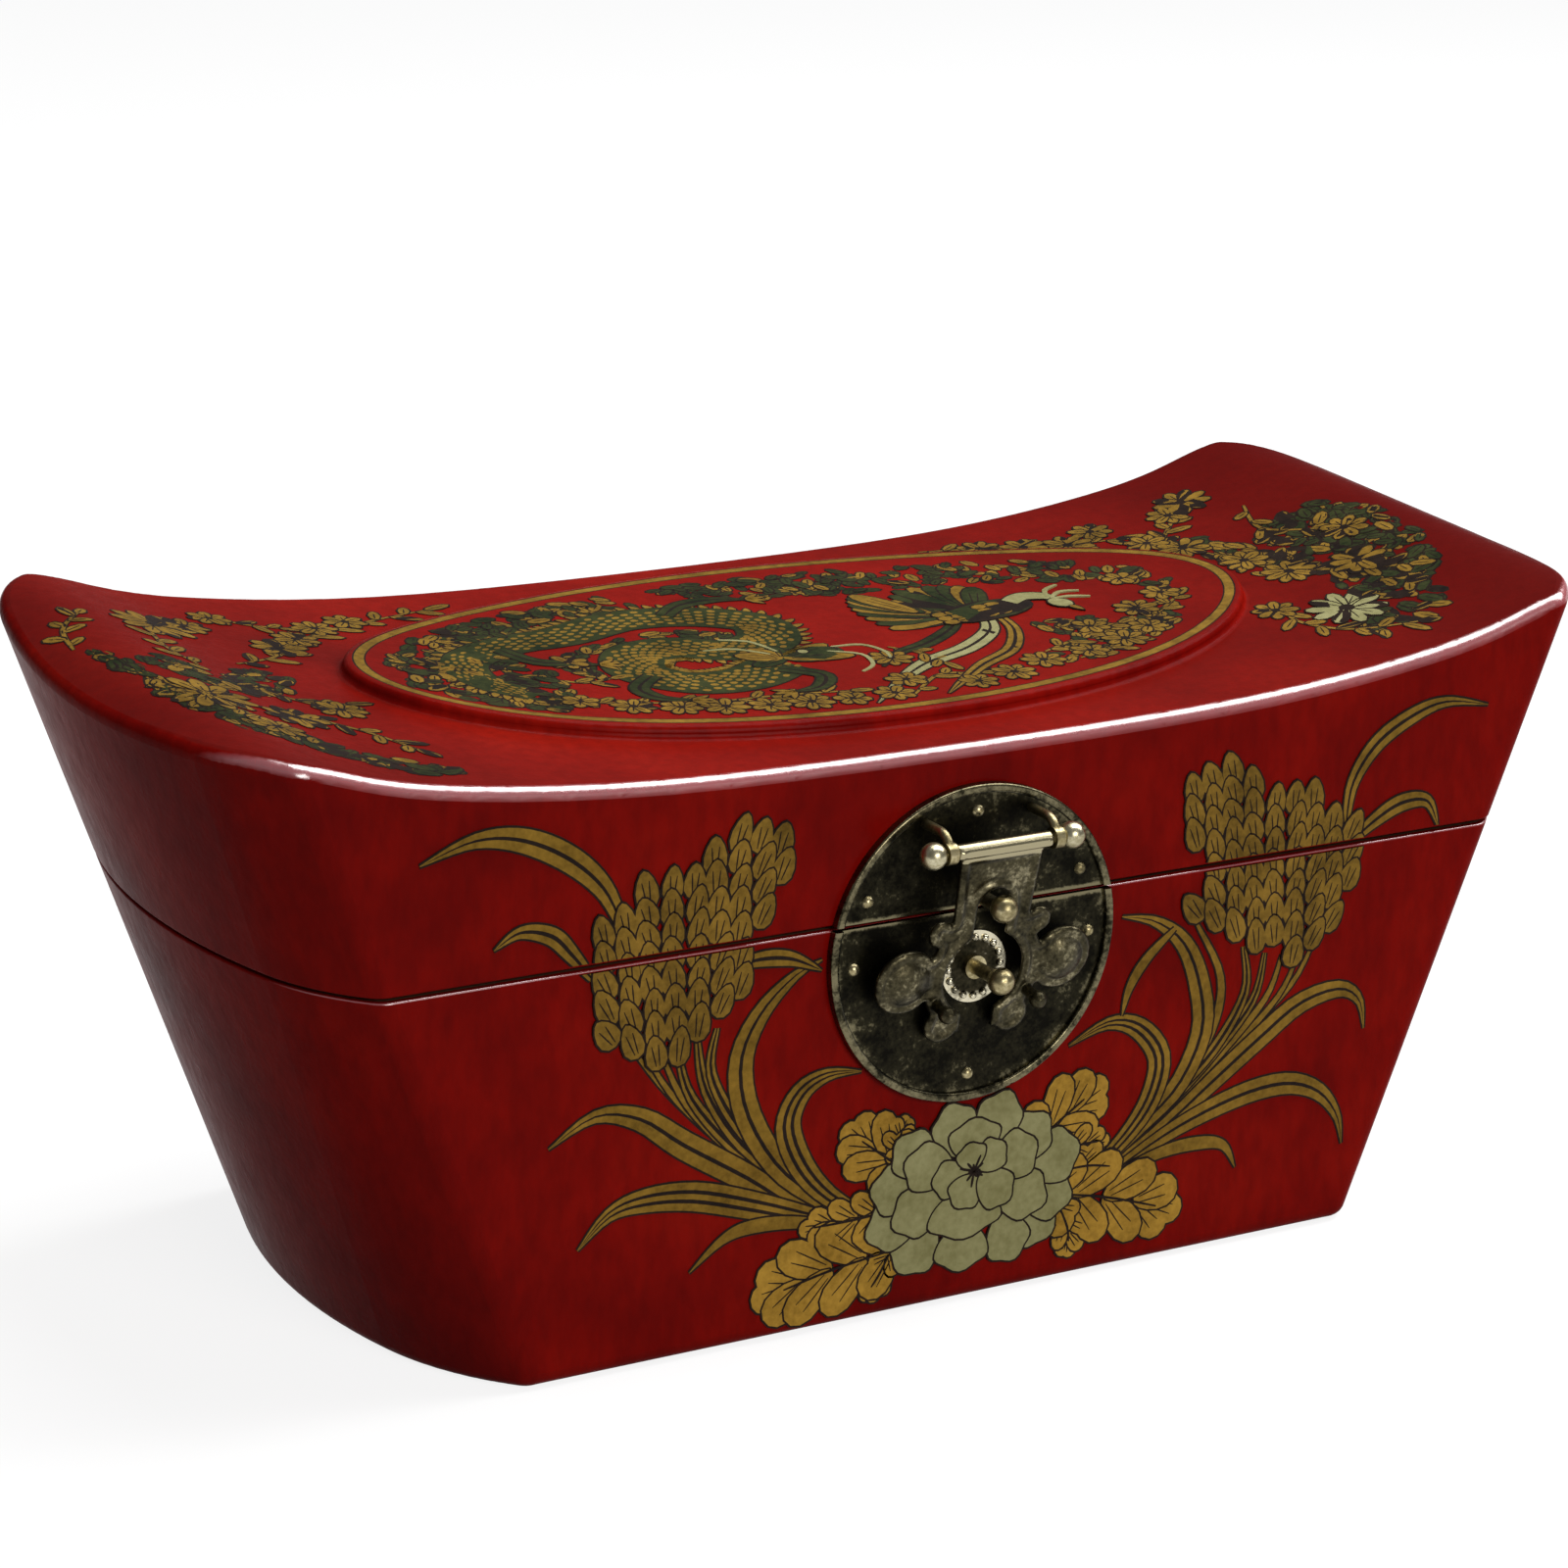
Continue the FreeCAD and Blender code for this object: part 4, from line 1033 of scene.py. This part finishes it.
# %% Flowering branches at both ends
sheet = new_sheet()
thicket(sheet, [(-142, 24), (-138, -20), (-132, -34), (-122, -42), (-110, -48), (-92, -50), (-96, -44),
        (-112, -38), (-124, -26), (-134, -6), (-137, 14)], 190, 5.0, seed=21, mosses=0.72)
thicket(sheet, [(-136, 6), (-128, 12), (-120, 4), (-112, 14), (-104, 10), (-108, -4), (-118, -10),
        (-130, -4)], 90, 4.8, seed=23, mosses=0.6)
left_flowers = (
    ((-119, 35), 8.0, 10), ((-112, 38), 5.0, 8), ((-98, 27), 5.5, 8), ((-130, -14), 9.0, 11),
    ((-116, -20), 6.0, 9), ((-104, -12), 5.0, 8), ((-104, 45), 4.2, 7), ((-124, -30), 5.0, 8),
    ((-85, 40), 4.6, 8), ((-77, 44), 4.4, 7), ((-92, 33), 4.6, 8))
left_sprays = (
    ([(-112, 14), (-100, 22), (-88, 35), (-72, 44), (-58, 49)], 18, 5.4),
    ([(-122, 8), (-124, 18), (-122, 30)], 8, 5.0), ([(-114, -4), (-108, -9), (-101, -8)], 6, 4.6),
    ([(-104, 46), (-98, 42), (-92, 40)], 5, 4.4), ([(-118, -14), (-106, -24), (-100, -34)], 8, 5.0),
    ([(-142, 16), (-140, 26), (-134, 34)], 7, 4.8))
branch(sheet, left_flowers, left_sprays, 30)
lay_on_lid("left_branch", sheet)

sheet = new_sheet()
thicket(sheet, [(108, 14), (118, 22), (130, 18), (137, 4), (134, -12), (126, -26), (116, -42),
        (100, -46), (94, -38), (104, -30), (108, -14), (104, 0)], 240, 5.2, seed=31, mosses=0.6)
thicket(sheet, [(99, 25), (98, 12), (99, -6), (112, -12), (113, 2), (107, 14), (104, 25)],
        60, 4.8, seed=33, mosses=0.35)
right_flowers = (
    ((64, 45), 4.6, 8), ((72, 41), 5.0, 8), ((80, 37), 5.6, 9), ((88, 41), 4.6, 8), ((111, 42), 6.0, 9),
    ((105, 38), 4.6, 8), ((97, 21), 5.4, 9), ((93, 28), 4.6, 8), ((102, 7), 5.0, 8),
    ((105, -4), 5.6, 9), ((91, -19), 4.6, 8), ((117, -10), 6.0, 9), ((124, 4), 5.0, 8))
right_sprays = (
    ([(52, 49), (64, 45), (78, 38), (90, 34)], 12, 5.0), ([(95, 26), (101, 32), (109, 40)], 8, 5.0),
    ([(101, 14), (103, 2), (112, -10), (122, -20)], 14, 5.2),
    ([(118, 30), (114, 18), (121, 8)], 6, 4.6),
    ([(94, -17), (91, -26), (96, -36), (108, -42)], 10, 5.2))
branch(sheet, right_flowers, right_sprays, 30)
flower(sheet, (102, -27), 8.0, 10, 44, "petal")
lay_on_lid("right_branch", sheet)

# %% [markdown]
# The inside is lined with satin. The solid linings are smooth slabs, so each gets a cloth piece
# in its place: a copy whose doubled points are merged and whose triangles are dissolved into flat
# faces, then cut by evenly spaced planes, so that it has enough points to bend. Slow waves pull
# them back by up to a quarter of a millimetre, as glued cloth lies. The points on a slab's sharp
# edges stay where they are, and the pull grows with the distance from them, so two linings
# still meet at their seam. A tree of the edge points gives that distance.

# %% Cloth linings
def merged_copy(node):
    """A copy of a ready-made part whose doubled points are merged."""
    bm = bmesh.new()
    bm.from_mesh(nodes_by_name[node].data)
    bmesh.ops.remove_doubles(bm, verts=bm.verts[:], dist=2e-6)
    return bm


def cloth_copy(node, spacing):
    """A merged copy in flat faces, cut by evenly spaced planes on all three axes."""
    bm = merged_copy(node)
    bmesh.ops.dissolve_limit(bm, angle_limit=math.radians(0.02), verts=bm.verts[:], edges=bm.edges[:])
    low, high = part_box(node)
    for axis in range(3):
        facing = [1.0 if other == axis else 0.0 for other in range(3)]
        level = low[axis] + spacing
        while level < high[axis] - spacing / 2:
            bmesh.ops.bisect_plane(bm, geom=bm.verts[:] + bm.edges[:] + bm.faces[:], dist=1e-7,
                                   plane_co=[level] * 3, plane_no=facing)
            level += spacing
    bmesh.ops.recalc_face_normals(bm, faces=bm.faces[:])
    bm.normal_update()
    return bm


def tree_of(places):
    """A tree that finds the nearest of some places quickly."""
    tree = KDTree(len(places))
    for number, place in enumerate(places):
        tree.insert(place, number)
    tree.balance()
    return tree


def smooth_piece(piece, angle):
    """Soft shading that stays crisp at edges sharper than an angle in degrees."""
    bm = bmesh.new()
    bm.from_mesh(piece.data)
    for face in bm.faces:
        face.smooth = True
    for edge in bm.edges:
        edge.smooth = edge.calc_face_angle(0.0) < math.radians(angle)
    bm.to_mesh(piece.data)
    bm.free()


for node, body in (("base_wall_lining", "base"), ("lid_wall_lining", "lid"), ("lid_top_lining", "lid")):
    bm = cloth_copy(node, 7.0 * MM)
    rim_tree = tree_of([vert.co for edge in bm.edges if edge.calc_face_angle(math.pi) > math.radians(20)
                        for vert in edge.verts])
    moves = []
    for vert in bm.verts:
        x, y, z = vert.co / MM
        sway = (math.sin(x / 11 + 1.3 * math.sin(z / 17)) * math.sin(z / 9 + y / 8 + 0.7)
                * math.cos(y / 13))
        from_edge = rim_tree.find(vert.co)[2] / MM
        share = min(max(from_edge - 3.5, 0.0) / 5.0, 1.0)
        moves.append(vert.co - vert.normal * share * (0.125 + 0.125 * sway) * MM)
    move_to(bm, moves)
    piece = new_piece(node + "_satin", bm, cloth, body)
    smooth_piece(piece, 40)
    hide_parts(node)
    print(piece.name, "faces:", len(piece.data.polygons))

# %% [markdown]
# The floor has a thin quilted pad. Its height comes from two simple rules. It is crowned, so it
# falls away within a few millimetres of its edge, and it is sewn along crossing diagonals, so it
# dips where a stitch line passes. The nearest edge point comes from a tree of the side's points.

# %% Quilted floor pad
pad_low, pad_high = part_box("base_floor_pad")
thickness = pad_high[2] - pad_low[2]
quilt = 17.0 * MM
bm = cloth_copy("base_floor_pad", 2.5 * MM)
sides = [vert for vert in bm.verts if abs(vert.normal.z) < 0.95 and vert.co.z > pad_high[2] - 1e-5]
edge_tree = tree_of([vert.co for vert in sides])
heights = []
for vert in bm.verts:
    from_edge = edge_tree.find((vert.co.x, vert.co.y, pad_high[2]))[2]
    crown = 0.42 + 0.58 * math.sin(min(from_edge / (7.0 * MM), 1.0) * math.pi / 2)
    dip = 0.0
    for way in (-1, 1):
        lane = (vert.co.x + way * vert.co.y) / quilt
        off_line = abs(lane - round(lane)) * quilt / math.sqrt(2)
        dip = max(dip, math.exp(-(off_line / (1.6 * MM)) ** 2))
    share = (vert.co.z - pad_low[2]) / thickness
    heights.append(pad_low[2] + share * thickness * crown * (1 - 0.38 * dip))
for vert, height in zip(bm.verts, heights):
    vert.co.z = height
pad = new_piece("quilted_floor_pad", bm, cloth, "base")
smooth_piece(pad, 50)
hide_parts("base_floor_pad")
print("pad faces:", len(pad.data.polygons), "thickness:", round(thickness / MM, 2), "mm")

# %% [markdown]
# The hasp is a casting, so nothing on it is flat or sharp. Its piece starts as a copy of the
# solid one. A voxel remesh turns it into small even squares. Each point then measures how far it
# is from the plate's edge: near the edge the face swells into a rounded border, and just inside
# runs a shallow groove. Smoothing the points at the end softens everything, as wax does.

# %% Cast hasp
caster = add_mesh("hasp_blank", merged_copy("hasp"))
remesh = caster.modifiers.new("even_squares", "REMESH")
remesh.mode = "VOXEL"
remesh.voxel_size = 0.32 * MM
ready = caster.evaluated_get(bpy.context.evaluated_depsgraph_get())
bm = bmesh.new()
bm.from_mesh(ready.to_mesh())
bpy.data.objects.remove(caster)

tilt = math.radians(11.0)
plate_front = Vector((0, -math.cos(tilt), -math.sin(tilt)))
bm.normal_update()
rim_tree = tree_of([vert.co for vert in bm.verts if abs(vert.normal.dot(plate_front)) < 0.3])
moves = []
for vert in bm.verts:
    facing = vert.normal.dot(plate_front)
    lift = 0.0
    if abs(facing) > 0.8:
        reach = rim_tree.find(vert.co)[2] / MM
        border = math.exp(-((reach - 1.0) / 0.55) ** 2)
        groove = math.exp(-((reach - 2.1) / 0.40) ** 2)
        lift = (0.42 * border - 0.22 * groove) * (1.0 if facing > 0 else 0.0)
    moves.append(vert.co + plate_front * lift * MM)
move_to(bm, moves)
for _ in range(4):
    bmesh.ops.smooth_vert(bm, verts=bm.verts[:], factor=0.5, use_axis_x=True, use_axis_y=True,
                          use_axis_z=True)
bmesh.ops.recalc_face_normals(bm, faces=bm.faces[:])
hasp = new_piece("cast_hasp", bm, cast_brass, "hasp")
smooth_piece(hasp, 60)
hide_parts("hasp")
print("cast hasp faces:", len(hasp.data.polygons))

print("cad box:", [[round(value, 4) for value in corner] for corner in cad_box])
